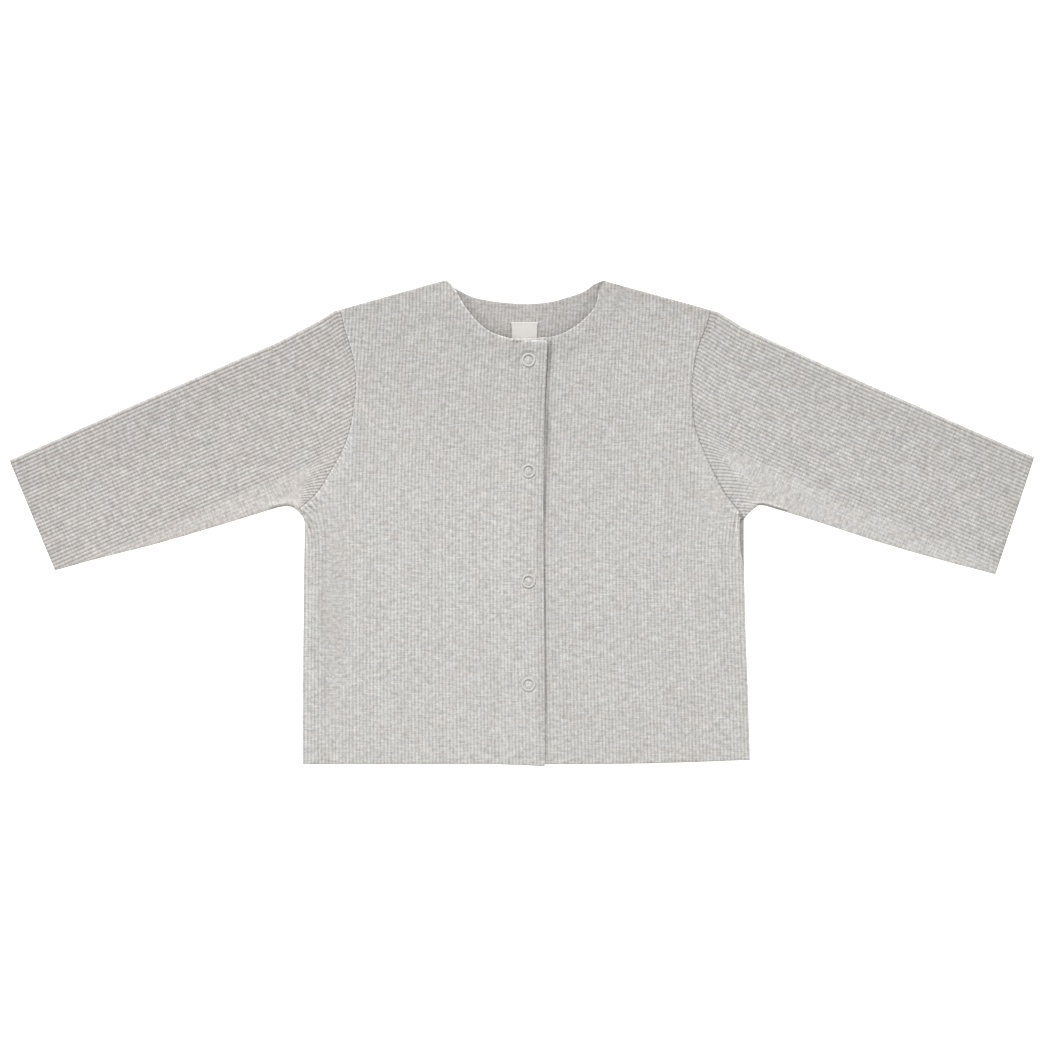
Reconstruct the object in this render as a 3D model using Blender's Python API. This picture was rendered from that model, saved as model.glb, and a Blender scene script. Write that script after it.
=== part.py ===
"""A baby cardigan in fine rib knit, laid flat on its back with its ring snaps closed.

Metres, +Z up. +X runs to the wearer's left and +Y to the neck. The underside rests on Z = 0.
Every panel is a sheet of cloth with a real thickness: its outline is cut in the flat, its ribs run
through it as crests and valleys, and one function for each face gives the height of every point.
"""
from collections import namedtuple
from math import acos, ceil, cos, exp, floor, hypot, pi, sin, sqrt, tau

import bmesh
import bpy
from mathutils import Vector
from mathutils.geometry import delaunay_2d_cdt, intersect_point_line

# ---------------------------------------------------------------- cloth
CLOTH = 0.0012            # the knit between two ribs
RIB = 0.00045             # how far a rib stands out of it
BAND = 0.0020             # a front edge turned double and pressed
GAP = 0.0003              # between pieces that lie on or beside each other
EDGE_ROLL = 0.0025        # width over which a seamed edge rounds off
EDGE_LEFT = 0.4           # share of the cloth's thickness left at the very edge
ROLL_ROWS = (0.0010, EDGE_ROLL)   # how far in the lines lie that shape a rolled edge
SAME_PLACE = 2e-6         # points this close are one

BODY_RIBS = 129           # ribs from side to side
RIB_DRIFT_FOOT = -0.025   # the height at which the ribs of the body begin to drift
RIB_LEAN = 0.006          # how far they lean sideways at the shoulder
RIB_LEAN_RISE = 0.170     # height over which they lean
RIB_FLARE = 0.004         # how far they spread towards each underarm
RIB_FLARE_RISE = 0.050    # height over which they spread
RIB_FLARE_REACH = 0.035   # how far in from the side this is felt
SLEEVE_PITCH = 0.0025     # rib to rib on a sleeve

# ---------------------------------------------------------------- the body, for the wearer's two sides
# "out" is the distance out from the middle on the piece's own side, so it is negative past the middle.
Sides = namedtuple("Sides", "right left")
Point = namedtuple("Point", "out y")
SideRow = namedtuple("SideRow", "y right left tuck")
ArmholeRow = namedtuple("ArmholeRow", "y right left")
EdgeRow = namedtuple("EdgeRow", "y right left")

SIGN = Sides(right=-1, left=1)
NECK_POINT = Sides(right=Point(0.0530, 0.1650), left=Point(0.0554, 0.1649))
SHOULDER_TIP = Sides(right=Point(0.1232, 0.1452), left=Point(0.1285, 0.1448))
UNDERARM = Sides(right=Point(0.1524, 0.0082), left=Point(0.1512, 0.0030))

# The side seams, from the hem up. tuck is how far the left front falls short of the back there.
SIDE_SEAM = (
    SideRow(y=-0.1600, right=0.1489, left=0.1550, tuck=0.0),
    SideRow(y=-0.1140, right=0.1489, left=0.1536, tuck=0.0),
    SideRow(y=-0.0800, right=0.1487, left=0.1523, tuck=0.0),
    SideRow(y=-0.0320, right=0.1482, left=0.1510, tuck=0.0004),
    SideRow(y=-0.0180, right=0.1480, left=0.1508, tuck=0.0022),
    SideRow(y=0.0010, right=0.1479, left=0.1508, tuck=0.0027),
)
# The armhole seams, from the shoulder tip down to the underarm.
ARMHOLE = (
    ArmholeRow(y=0.1330, right=0.1206, left=0.1249),
    ArmholeRow(y=0.1220, right=0.1172, left=0.1204),
    ArmholeRow(y=0.1090, right=0.1139, left=0.1173),
    ArmholeRow(y=0.0945, right=0.1127, left=0.1154),
    ArmholeRow(y=0.0800, right=0.1142, left=0.1160),
    ArmholeRow(y=0.0660, right=0.1163, left=0.1174),
    ArmholeRow(y=0.0510, right=0.1212, left=0.1225),
    ArmholeRow(y=0.0350, right=0.1300, left=0.1299),
    ArmholeRow(y=0.0210, right=0.1388, left=0.1374),
)
FRONT_NECK = Sides(
    right=(Point(0.0490, 0.1635), Point(0.0449, 0.1578), Point(0.0394, 0.1482), Point(0.0320, 0.1387),
           Point(0.0245, 0.1319), Point(0.0170, 0.1282), Point(0.0061, 0.1251), Point(-0.0041, 0.1244)),
    left=(Point(0.0519, 0.1620), Point(0.0510, 0.1510), Point(0.0469, 0.1435), Point(0.0374, 0.1346),
          Point(0.0265, 0.1285), Point(0.0184, 0.1265), Point(0.0050, 0.1256)),
)
# The free edge of each front, which runs past the middle.
FRONT_EDGE = (
    EdgeRow(y=0.1238, right=-0.0177, left=-0.0075),
    EdgeRow(y=0.0700, right=-0.0150, left=-0.0075),
    EdgeRow(y=0.0000, right=-0.0146, left=-0.0075),
    EdgeRow(y=-0.1200, right=-0.0156, left=-0.0075),
)
EDGE_TOP = Sides(right=Point(-0.0177, 0.1238), left=Point(-0.0075, 0.1253))
EDGE_STATIONS = (0.1150, 0.1080, 0.0970, 0.0850, 0.0450, 0.0000, -0.0800)
FRONT_HEM = Sides(
    right=(Point(-0.0156, -0.1652), Point(0.0010, -0.1644), Point(0.0300, -0.1639), Point(0.1489, -0.1639)),
    left=(Point(-0.0075, -0.1642), Point(0.0700, -0.1637), Point(0.1200, -0.1624), Point(0.1550, -0.1610)),
)
BACK_NECK = ((-0.0485, 0.1617), (-0.0422, 0.1579), (-0.0354, 0.1546), (-0.0286, 0.1525), (-0.0150, 0.1503),
             (0.0020, 0.1491), (0.0180, 0.1502), (0.0290, 0.1530), (0.0394, 0.1563), (0.0449, 0.1593),
             (0.0490, 0.1625))
# The ribs that each front and the back's neck carry, and the heights where their lines have points.
FRONT_RIBS = Sides(right=(-64, 10), left=(-8, 70))
FRONT_STATIONS = (-0.170, -0.080, 0.0, 0.045, 0.085, 0.105, 0.170)
BAND_STATIONS = (-0.170, 0.085, 0.170)
NECK_RIBS = (-24, 24)
NECK_STATIONS = (0.115, 0.122, 0.135, 0.170)

# ---------------------------------------------------------------- the sleeves
SagRow = namedtuple("SagRow", "along right left")
CUFF_TOP = Sides(right=Point(0.3483, 0.0426), left=Point(0.3482, 0.0448))
# The underarm seam of each sleeve, from the body to the foot of the cuff.
SLEEVE_SEAM = Sides(
    right=(Point(0.1547, 0.0099), Point(0.1584, 0.0113), Point(0.1646, 0.0108), Point(0.1782, 0.0068),
           Point(0.2054, -0.0015), Point(0.2462, -0.0135), Point(0.2870, -0.0239), Point(0.3173, -0.0322)),
    left=(Point(0.1545, 0.0069), Point(0.1584, 0.0102), Point(0.1628, 0.0121), Point(0.1754, 0.0087),
          Point(0.2026, 0.0002), Point(0.2434, -0.0132), Point(0.2842, -0.0250), Point(0.3217, -0.0349)),
)
# How far the fold along a sleeve's top sags below a straight line, by the share of its length.
FOLD_SAG = (
    SagRow(along=0.00, right=0.0, left=0.0),
    SagRow(along=0.02, right=-0.0008, left=-0.0008),
    SagRow(along=0.06, right=0.0008, left=0.0003),
    SagRow(along=0.10, right=0.0014, left=0.0017),
    SagRow(along=0.20, right=0.0026, left=0.0019),
    SagRow(along=0.31, right=0.0019, left=0.0020),
    SagRow(along=0.50, right=0.0012, left=0.0019),
    SagRow(along=0.63, right=0.0007, left=0.0012),
    SagRow(along=0.82, right=0.0003, left=0.0008),
    SagRow(along=1.00, right=0.0, left=0.0),
)
SLEEVE_PUFF = 0.0008      # how far a sleeve's upper layer rises between its fold and its seam
SLEEVE_PUFF_REACH = 0.030 # distance from fold, seam and armhole at which it has risen
FOLD_STEPS = 3            # rows of points round each quarter of a sleeve's fold
SLEEVE_STATIONS = (-0.020, 0.0, 0.012, 0.030, 0.055, 0.090, 0.140, 0.190, 0.270)

# ---------------------------------------------------------------- how the layers lie
NECK_CENTRE = (0.0015, 0.1660)
NECK_REACH = (0.0520, 0.0415)    # half width and depth of the opening
NECK_LIFT = 0.0015        # how far the front neck edge stands off the back
NECK_LIFT_WIDTH = 0.020
NECK_RIB_END = 0.002      # how far outside the opening the ribs inside the back begin to die out
NECK_RIB_FADE = 0.006
SHOULDER_FADE = 0.012     # distance from a shoulder seam at which the lift and these ribs are full
SIDE_PUFF = 0.0008        # the soft roll beside the right side fold
SIDE_PUFF_WIDTH = 0.0115
SIDE_PUFF_FADE = 0.020    # height over which it dies out below the underarm
BAND_INNER = -0.0075      # x where the right front's band begins, and where the left front ends
BAND_OUTER = 0.0140       # x where the left front's band ends, under the right front's edge
BAND_STEP = 0.0012        # width over which a band's doubled cloth thins to one layer
RAMP = 0.0110             # width over which the right front climbs onto the left one
RAMP_LANDING = 0.0008     # flat stretch at its top
SNAP_SPACE = 0.0010       # the snaps hold the two bands this far apart

# ---------------------------------------------------------------- ring snaps and label
SNAP_X = 0.0044
SNAP_Y = (0.1108, 0.0354, -0.0394, -0.1095)
SNAP_RADIUS = 0.0047
SNAP_HOLE = 0.0033
SNAP_HEIGHT = 0.0009
SNAP_BODY_RADIUS = 0.0042
SNAP_BODY_TAPER = 0.8     # its top radius as a share of its foot
SEAT_FLAT = 0.0053        # radius of the cloth that a snap presses flat
SEAT_RIM = 0.0070
SEAT_DEPTH = 0.0003       # under the ring
SEAT_BITE = 0.0005        # into each band, between the two
SNAP_BUD = 0.0005         # how far the cloth swells up inside the ring
SNAP_BUD_FLAT = 0.0012    # radius of its top, and the width of its slope below
SNAP_BUD_SLOPE = 0.0016
SNAP_SIDES = 24
LABEL_TOP = Point(0.0017, 0.1367)
LABEL_LENGTH = 0.0170
LABEL_WIDTH = 0.0184
LABEL_WAIST = 0.0168
LABEL_FLARE = 0.0040      # length over which it widens to its sewn end
LABEL_THICKNESS = 0.00045

# ---------------------------------------------------------------- colours and finishes
SHARP = 0.6               # angle in radians past which an edge shows
KNIT = ((0.560, 0.540, 0.515), 0.90)
RING = ((0.640, 0.620, 0.590), 0.38)
SNAP = ((0.620, 0.600, 0.570), 0.45)
WOVEN = ((0.760, 0.730, 0.680), 0.75)

FRONT_BASE = CLOTH + GAP              # underside of a front where it lies on the back
BAND_BASE = FRONT_BASE + BAND + SNAP_SPACE
FOLD_OUTER = CLOTH + GAP / 2          # radius of a sleeve's fold, outside
FOLD_INNER = GAP / 2
FOLD_QUARTER = (FOLD_OUTER + FOLD_INNER) / 2 * pi / 2


# ---------------------------------------------------------------- plain geometry
def ease(t):
    """Rises smoothly from 0 to 1."""
    t = min(max(t, 0.0), 1.0)
    return t * t * (3 - 2 * t)


def between(rows, key, at, column):
    """Reads a column of a table at a value of its key column, in straight steps."""
    rows = sorted(rows, key=lambda row: getattr(row, key))
    for low, high in zip(rows, rows[1:]):
        if at <= getattr(high, key):
            break
    start, end = getattr(low, key), getattr(high, key)
    share = min(max((at - start) / (end - start), 0.0), 1.0)
    return getattr(low, column) * (1 - share) + getattr(high, column) * share


def curve_through(points, steps):
    """A smooth run of points through the given ones, the same number of steps between each pair."""
    points = [Vector(point[:2]) for point in points]
    padded = [2 * points[0] - points[1], *points, 2 * points[-1] - points[-2]]
    run = []
    for before, start, end, after in zip(padded, padded[1:], padded[2:], padded[3:]):
        for step in range(steps):
            t = step / steps
            run.append(0.5 * (2 * start + (end - before) * t
                              + (2 * before - 5 * start + 4 * end - after) * t ** 2
                              + (3 * start - before - 3 * end + after) * t ** 3))
    return run + [points[-1]]


def beside(points, distance):
    """The same run of points, moved to its left by a distance and a little longer at both ends."""
    moved = []
    for index, point in enumerate(points):
        ahead = points[min(index + 1, len(points) - 1)] - points[max(index - 1, 0)]
        ahead.normalize()
        moved.append(point + Vector((-ahead.y, ahead.x)) * distance)
    first = moved[0] + (moved[0] - moved[1]).normalized() * distance
    last = moved[-1] + (moved[-1] - moved[-2]).normalized() * distance
    return [first, *moved, last]


def distance_to(run, point):
    """The distance from a point to the nearest stretch of a run of points."""
    nearest = 1.0
    for start, end in zip(run, run[1:]):
        foot, share = intersect_point_line(point, start, end)
        foot = start if share < 0 else end if share > 1 else Vector(foot[:2])
        nearest = min(nearest, (point - foot).length)
    return nearest


def edge_share(distance):
    """How much of the cloth's thickness is left at a distance from a seamed edge, which rolls off."""
    t = min(distance / EDGE_ROLL, 1.0)
    return EDGE_LEFT + (1 - EDGE_LEFT) * sqrt(1 - (1 - t) ** 2)


# ---------------------------------------------------------------- ribs of the body
def body_middle(y):
    """Middle and half width of the body at a height, kept the same above the underarms."""
    right = between(SIDE_SEAM, "y", y, "right")
    left = between(SIDE_SEAM, "y", y, "left")
    return (left - right) / 2, (left + right) / 2


def rib_drift(x, y):
    """How far the ribs have moved sideways: a lean up the body, and a flare to each underarm."""
    middle, half = body_middle(y)
    lean = RIB_LEAN * min(max((y - RIB_DRIFT_FOOT) / RIB_LEAN_RISE, 0.0), 1.0) ** 2
    inside = half - abs(x - middle)
    side = 1 if x > middle else -1
    flare_share = ease((y - RIB_DRIFT_FOOT) / RIB_FLARE_RISE)
    flare = RIB_FLARE * flare_share * exp(-max(inside, 0.0) / RIB_FLARE_REACH)
    return lean + side * flare


def rib_number(x, y):
    """Which rib of the body a point lies on: whole numbers are valleys, halves are crests."""
    middle, half = body_middle(y)
    return (x - rib_drift(x, y) - middle) / half * BODY_RIBS / 2


def rib_place(number, y):
    """Where a rib of the body crosses a height."""
    middle, half = body_middle(y)
    straight = middle + number * half * 2 / BODY_RIBS
    x = straight
    for _ in range(6):
        x = straight + rib_drift(x, y)
    return x


def crest(number):
    """How much of a rib stands at a rib number: 0 in a valley, 1 on a crest."""
    return 1 - abs(2 * (number - floor(number)) - 1)


def rib_lines(low, high, stations, every=1):
    """The crest and valley lines from one rib number up to another, one in so many half ribs."""
    halves = range(ceil(2 * low), ceil(2 * high))
    return [[Vector((rib_place(half / 2, y), y)) for y in stations] for half in halves if half % every == 0]


# ---------------------------------------------------------------- sheets of cloth
def cut_out(outline, lines):
    """Fills an outline with triangles that follow the lines, and finds its border in order."""
    turned = sum(start.cross(end) for start, end in zip(outline, [*outline[1:], outline[0]])) < 0
    points = [Vector(point) for point in (reversed(outline) if turned else outline)]
    edges = []
    for line in lines:
        start = len(points)
        points.extend(Vector(point) for point in line)
        edges.extend((index, index + 1) for index in range(start, len(points) - 1))
    border = [range(len(outline))]
    points, _, triangles, sources, _, within = delaunay_2d_cdt(points, edges, border, 1, SAME_PLACE)
    triangles = [triangle for triangle, inside in zip(triangles, within) if inside]
    sides = {(triangle[corner - 1], triangle[corner]) for triangle in triangles for corner in range(3)}
    following = {start: end for start, end in sides if (end, start) not in sides}
    border = [min(following)]
    while following[border[-1]] != border[0]:
        border.append(following[border[-1]])
    return points, triangles, border, sources


def sheet(name, outline, over_lines, under_lines, over, under, finish):
    """A closed piece of cloth between two faces, each given as a function of a point in the flat."""
    points, triangles, border, _ = cut_out(outline, over_lines)
    mesh = bmesh.new()
    upper = {index: mesh.verts.new(over(points[index])) for index in {i for tri in triangles for i in tri}}
    for triangle in triangles:
        mesh.faces.new([upper[index] for index in triangle])
    points, triangles, _, sources = cut_out([points[index] for index in border], under_lines)
    lower = {index: mesh.verts.new(under(points[index])) for index in {i for tri in triangles for i in tri}}
    for triangle in triangles:
        mesh.faces.new([lower[index] for index in reversed(triangle)])
    below = {source: lower[index] for index in lower for source in sources[index] if source < len(border)}
    for place, index in enumerate(border):
        beyond = (place + 1) % len(border)
        mesh.faces.new((upper[index], below[place], below[beyond], upper[border[beyond]]))
    return finish_piece(name, mesh, finish)


def finish_piece(name, mesh, finish):
    """Closes the mesh off as a named object with its own material."""
    bmesh.ops.triangulate(mesh, faces=[face for face in mesh.faces if len(face.verts) == 4])
    bmesh.ops.recalc_face_normals(mesh, faces=mesh.faces)
    data = bpy.data.meshes.new(name)
    mesh.to_mesh(data)
    mesh.free()
    data.shade_smooth()
    data.set_sharp_from_angle(angle=SHARP)
    colour, roughness = finish
    material = bpy.data.materials.new(name)
    material.use_nodes = True
    shader = material.node_tree.nodes["Principled BSDF"]
    shader.inputs["Base Color"].default_value = (*colour, 1.0)
    shader.inputs["Roughness"].default_value = roughness
    shader.inputs["Metallic"].default_value = 0.0
    data.materials.append(material)
    piece = bpy.data.objects.new(name, data)
    bpy.context.scene.collection.objects.link(piece)
    return piece


# ---------------------------------------------------------------- outlines of the body
def place(side, point):
    """A point of one of the wearer's sides, in the plan of the whole garment."""
    return Vector((getattr(SIGN, side) * point[0], point[1]))


def armhole(side):
    """The armhole seam of one side, from the shoulder tip to the underarm."""
    rows = [Point(getattr(row, side), row.y) for row in ARMHOLE]
    points = [getattr(SHOULDER_TIP, side), *rows, getattr(UNDERARM, side)]
    return curve_through([place(side, point) for point in points], 2)


def side_seam(side, corner, tucked=False):
    """The side of the body, from its corner at the hem up to the underarm."""
    rows = [Point(getattr(row, side) - (row.tuck if tucked else 0), row.y) for row in SIDE_SEAM[1:]]
    points = [corner, *rows, getattr(UNDERARM, side)]
    return curve_through([place(side, point) for point in points], 2)


def shoulder(side):
    """The shoulder seam, from its tip to the neck."""
    return [place(side, getattr(SHOULDER_TIP, side)), place(side, getattr(NECK_POINT, side))]


def front_outline(side):
    """A front's cut, from the foot of its front edge round by hem, side, armhole and neck."""
    hem = [place(side, point) for point in getattr(FRONT_HEM, side)]
    seam = side_seam(side, getattr(FRONT_HEM, side)[-1], tucked=side == "left")
    neck = [getattr(NECK_POINT, side), *getattr(FRONT_NECK, side), getattr(EDGE_TOP, side)]
    neck = curve_through([place(side, point) for point in neck], 2)
    edge = [place(side, (between(FRONT_EDGE, "y", y, side), y)) for y in EDGE_STATIONS]
    return [*hem[:-1], *seam[:-1], *reversed(armhole(side)), *neck, *edge]


def back_outline():
    """The back's cut, from the right hem corner round by left side, neck and right side."""
    left_corner, right_corner = FRONT_HEM.left[-1], FRONT_HEM.right[-1]
    left = [*side_seam("left", left_corner)[:-1], *reversed(armhole("left"))]
    right = [*side_seam("right", right_corner)[:-1], *reversed(armhole("right"))]
    ends = [place(side, getattr(NECK_POINT, side)) for side in ("left", "right")]
    neck = curve_through([ends[0], *reversed(BACK_NECK), ends[1]], 2)
    hem = [place("right", FRONT_HEM.right[2]), *(place("left", point) for point in FRONT_HEM.left[1:3])]
    return [*hem, *left, *neck, *reversed(right)]


# ---------------------------------------------------------------- heights of the body
def snap_seat(x, y):
    """The nearest snap's place, and how firmly it presses the cloth flat here, 0 to 1."""
    centre = min(SNAP_Y, key=lambda snap_y: abs(y - snap_y))
    reach = hypot(x - SNAP_X, y - centre)
    return centre, reach, 1 - ease((reach - SEAT_FLAT) / (SEAT_RIM - SEAT_FLAT))


def outside_neck(x, y):
    """How far a point lies outside the neck opening."""
    across = (x - NECK_CENTRE[0]) / NECK_REACH[0]
    along = (y - NECK_CENTRE[1]) / NECK_REACH[1]
    return (hypot(across, along) - 1) * NECK_REACH[1]


def shoulder_fade(x, y):
    """0 at the shoulder seams and 1 well below them."""
    side = "left" if x > 0 else "right"
    return ease(distance_to(shoulder(side), Vector((x, y))) / SHOULDER_FADE)


def neck_lift(x, y):
    """How far the fronts stand off the back round the neck."""
    return NECK_LIFT * (1 - ease(outside_neck(x, y) / NECK_LIFT_WIDTH)) * shoulder_fade(x, y)


def side_puff(x, y):
    """The soft roll along the right side fold, which dies out below the underarm."""
    inside = x + between(SIDE_SEAM, "y", y, "right")
    bump = sin(pi * min(max(inside / SIDE_PUFF_WIDTH, 0.0), 1.0)) ** 2
    return SIDE_PUFF * bump * (1 - ease(y / SIDE_PUFF_FADE))


def front_under(side, point):
    """Height of a front's inner face."""
    x, y = point
    centre, _, press = snap_seat(x, y)
    x, y = x + (SNAP_X - x) * press, y + (centre - y) * press
    height = FRONT_BASE + neck_lift(x, y)
    if side == "left":
        return height
    on_band = ease((x - BAND_INNER + RAMP) / (RAMP - RAMP_LANDING))
    return height + side_puff(x, y) + on_band * (BAND_BASE - FRONT_BASE) + press * SEAT_BITE


def front_over(side, point, seams):
    """Height of a front's outer face."""
    x, y = point
    _, reach, press = snap_seat(x, y)
    height = front_under(side, point)
    rib = RIB * crest(rib_number(x, y)) * (1 - press)
    if side == "left":
        in_band = 1 - ease((x - BAND_OUTER) / BAND_STEP)
        rib *= 1 - in_band
        height -= press * SEAT_BITE
    else:
        in_band = ease((x - BAND_INNER + BAND_STEP) / (2 * BAND_STEP))
        bud = SNAP_BUD * (1 - ease((reach - SNAP_BUD_FLAT) / SNAP_BUD_SLOPE))
        height += bud - press * (SEAT_BITE + SEAT_DEPTH)
    thickness = CLOTH + (BAND - CLOTH) * in_band
    return height + (thickness + rib) * edge_share(distance_to(seams, point))


def back_rib(x, y):
    """The ribs on the back's inner face, which show inside the neck and end under the fronts."""
    fade = 1 - ease((outside_neck(x, y) - NECK_RIB_END) / NECK_RIB_FADE)
    return RIB * crest(rib_number(x, y)) * fade * shoulder_fade(x, y)


# ---------------------------------------------------------------- the pieces
def build_back():
    """The back panel: flat underneath, ribbed above where the neck shows its inner face."""
    seams = [[*side_seam(side, getattr(FRONT_HEM, side)[-1])] for side in ("right", "left")]
    shoulders = [shoulder(side) for side in ("right", "left")]
    rows = [beside(run, distance * turn) for run, turn in
            ((seams[0], -1), (seams[1], 1), (shoulders[0], -1), (shoulders[1], 1))
            for distance in ROLL_ROWS]
    ribs = rib_lines(*NECK_RIBS, NECK_STATIONS)

    def under(point):
        distance = min(distance_to(run, point) for run in (*seams, *shoulders))
        return (*point, CLOTH * (1 - edge_share(distance)))

    def over(point):
        return (*point, CLOTH + back_rib(*point))

    # The underside is the face with the rolled edges, so the ribs are the second set of lines.
    return sheet("back", back_outline(), [*rows, *ribs], rows, over, under, KNIT)


def build_front(side):
    """A front: ribs on its outer face, plain inside, with its band turned double at the front edge."""
    plain = FRONT_STATIONS
    first, last = getattr(FRONT_RIBS, side)
    seat = (SEAT_RIM, SEAT_FLAT, SEAT_FLAT / 2)
    near_snaps = [y + step for y in SNAP_Y for step in (0.0, *seat, *(-reach for reach in seat))]
    band = sorted([*near_snaps, *BAND_STATIONS])
    seams = [*side_seam(side, getattr(FRONT_HEM, side)[-1], tucked=side == "left"), *shoulder(side)]
    turn = -1 if side == "right" else 1
    rolls = [beside(shoulder(side), turn * distance) for distance in ROLL_ROWS]
    outline = front_outline(side)
    snap_low = rib_number(SNAP_X - SEAT_RIM, SNAP_Y[0] + SEAT_RIM)
    snap_high = rib_number(SNAP_X + SEAT_RIM, SNAP_Y[-1])
    if side == "right":
        ramp_low = floor(rib_number(BAND_INNER - RAMP, SNAP_Y[-1])) - 1
        ribs = [*rib_lines(first, snap_low, plain), *rib_lines(snap_low, snap_high, band),
                *rib_lines(snap_high, last, plain)]
        inner = [*rib_lines(first, ramp_low - 2, plain, 12), *rib_lines(ramp_low, snap_low, plain),
                 *rib_lines(snap_low, snap_high, band), *rib_lines(snap_high, last, plain, 2)]
    else:
        ribs = [*rib_lines(first, snap_low, plain, 2), *rib_lines(snap_low, snap_high, band, 2),
                *rib_lines(snap_high, last, plain)]
        inner = [*rib_lines(first, snap_low, plain, 4), *rib_lines(snap_high, last, plain, 12)]

    def over(point):
        return (*point, front_over(side, point, seams))

    def under(point):
        return (*point, front_under(side, point))

    return sheet("front_" + side, outline, [*rolls, *ribs], inner, over, under, KNIT)


def build_sleeve(side):
    """A sleeve: one sheet folded along its top, whose two edges meet at the underarm seam."""
    tip = place(side, getattr(SHOULDER_TIP, side))
    cuff = place(side, getattr(CUFF_TOP, side))
    length = (cuff - tip).length
    ahead = (cuff - tip) / length
    down = Vector((-ahead.y, ahead.x)) * (-1 if ahead.x > 0 else 1)

    def sag(along):
        return between(FOLD_SAG, "along", along / length, side)

    def unfold(point):
        """Turns a point of the plan into the flat sheet: along the fold, and round it to the seam."""
        along = (point - tip).dot(ahead)
        deep = max((point - tip).dot(down) - sag(along), 0.0)
        if deep < FOLD_OUTER:
            return Vector((along, acos(1 - deep / FOLD_OUTER) / (pi / 2) * FOLD_QUARTER))
        return Vector((along, FOLD_QUARTER + deep - FOLD_OUTER))

    hole = armhole(side)
    outward = beside(hole, GAP if side == "left" else -GAP)[1:-1]
    underarm = curve_through([outward[-1], *(place(side, point) for point in getattr(SLEEVE_SEAM, side))], 2)
    top = [unfold(point) for point in [*outward[:-1], *underarm, cuff]]
    seam = [unfold(point) for point in underarm]
    outline = [*top, *(Vector((point.x, -point.y)) for point in reversed(top[1:-1]))]
    outline[0].y = outline[len(top) - 1].y = 0.0

    def face(point, radius, toward_rib):
        """Folds a point of the sheet back into space, at a distance from the fold's core."""
        along, round_fold = point
        folded = Vector((along, abs(round_fold)))
        share = edge_share(distance_to(seam, folded))
        if toward_rib:
            radius = FOLD_INNER + (radius - FOLD_INNER) * share
        if abs(round_fold) < FOLD_QUARTER:
            turn = round_fold / FOLD_QUARTER * pi / 2
            deep, height = FOLD_OUTER - radius * cos(turn), radius * sin(turn)
        else:
            deep = FOLD_OUTER + abs(round_fold) - FOLD_QUARTER
            height = radius if round_fold > 0 else -radius
        plan = tip + ahead * along + down * (deep + sag(along))
        if round_fold > 0:
            across = distance_to(seam, folded)
            settle = ease(across / SLEEVE_PUFF_REACH) * ease(round_fold / SLEEVE_PUFF_REACH)
            height += SLEEVE_PUFF * settle * ease(distance_to(hole, plan) / SLEEVE_PUFF_REACH)
        return (plan.x, plan.y, FOLD_OUTER + height)

    def over(point):
        rib = RIB * crest(point.y / SLEEVE_PITCH) * ease((point.y + FOLD_QUARTER) / FOLD_QUARTER)
        return face(point, FOLD_OUTER + rib, True)

    def under(point):
        return face(point, FOLD_INNER, False)

    def lines_along(places):
        return [[Vector((along, across)) for along in SLEEVE_STATIONS] for across in places]

    fold = lines_along(step / FOLD_STEPS * FOLD_QUARTER for step in range(-FOLD_STEPS, FOLD_STEPS))
    deepest = max(point.y for point in outline)
    ribs = lines_along(half * SLEEVE_PITCH / 2 for half in range(1, ceil(2 * deepest / SLEEVE_PITCH)))
    rolls = [[Vector((point.x, point.y * face_side)) for point in beside(seam, -distance)]
             for distance in ROLL_ROWS for face_side in (1, -1)]
    return sheet("sleeve_" + side, outline, [*fold, *ribs, *rolls], [*fold, *ribs[::8]], over, under, KNIT)


def turned_ring(name, profile, x, y, z, finish):
    """Turns a closed profile of (radius, height) points round an upright axis."""
    mesh = bmesh.new()
    turns = [tau * turn / SNAP_SIDES for turn in range(SNAP_SIDES)]
    rings = [[mesh.verts.new((x + radius * cos(turn), y + radius * sin(turn), z + height)) for turn in turns]
             for radius, height in profile]
    for ring, following in zip(rings, [*rings[1:], rings[0]]):
        for turn in range(SNAP_SIDES):
            beyond = (turn + 1) % SNAP_SIDES
            mesh.faces.new((ring[turn], ring[beyond], following[beyond], following[turn]))
    return finish_piece(name, mesh, finish)


def build_snaps():
    """Four ring snaps: the open ring that shows, and the pressed body between the two bands."""
    rounding = SNAP_HEIGHT / 3
    ring = ((SNAP_HOLE, 0), (SNAP_RADIUS, 0), (SNAP_RADIUS, SNAP_HEIGHT - rounding),
            (SNAP_RADIUS - rounding, SNAP_HEIGHT), (SNAP_HOLE + rounding, SNAP_HEIGHT),
            (SNAP_HOLE, SNAP_HEIGHT - rounding))
    for number, y in enumerate(SNAP_Y, start=1):
        centre = Vector((SNAP_X, y))
        floor_of_ring = front_under("right", centre) + BAND - SEAT_BITE - SEAT_DEPTH + GAP
        turned_ring(f"snap_ring_{number}", ring, SNAP_X, y, floor_of_ring, RING)
        low = front_under("left", centre) + BAND - SEAT_BITE + GAP
        high = front_under("right", centre) - GAP
        mesh = bmesh.new()
        bmesh.ops.create_cone(mesh, cap_ends=True, segments=SNAP_SIDES, radius1=SNAP_BODY_RADIUS,
                              radius2=SNAP_BODY_RADIUS * SNAP_BODY_TAPER, depth=high - low)
        bmesh.ops.translate(mesh, vec=(SNAP_X, y, (low + high) / 2), verts=mesh.verts)
        finish_piece(f"snap_body_{number}", mesh, SNAP)


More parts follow.
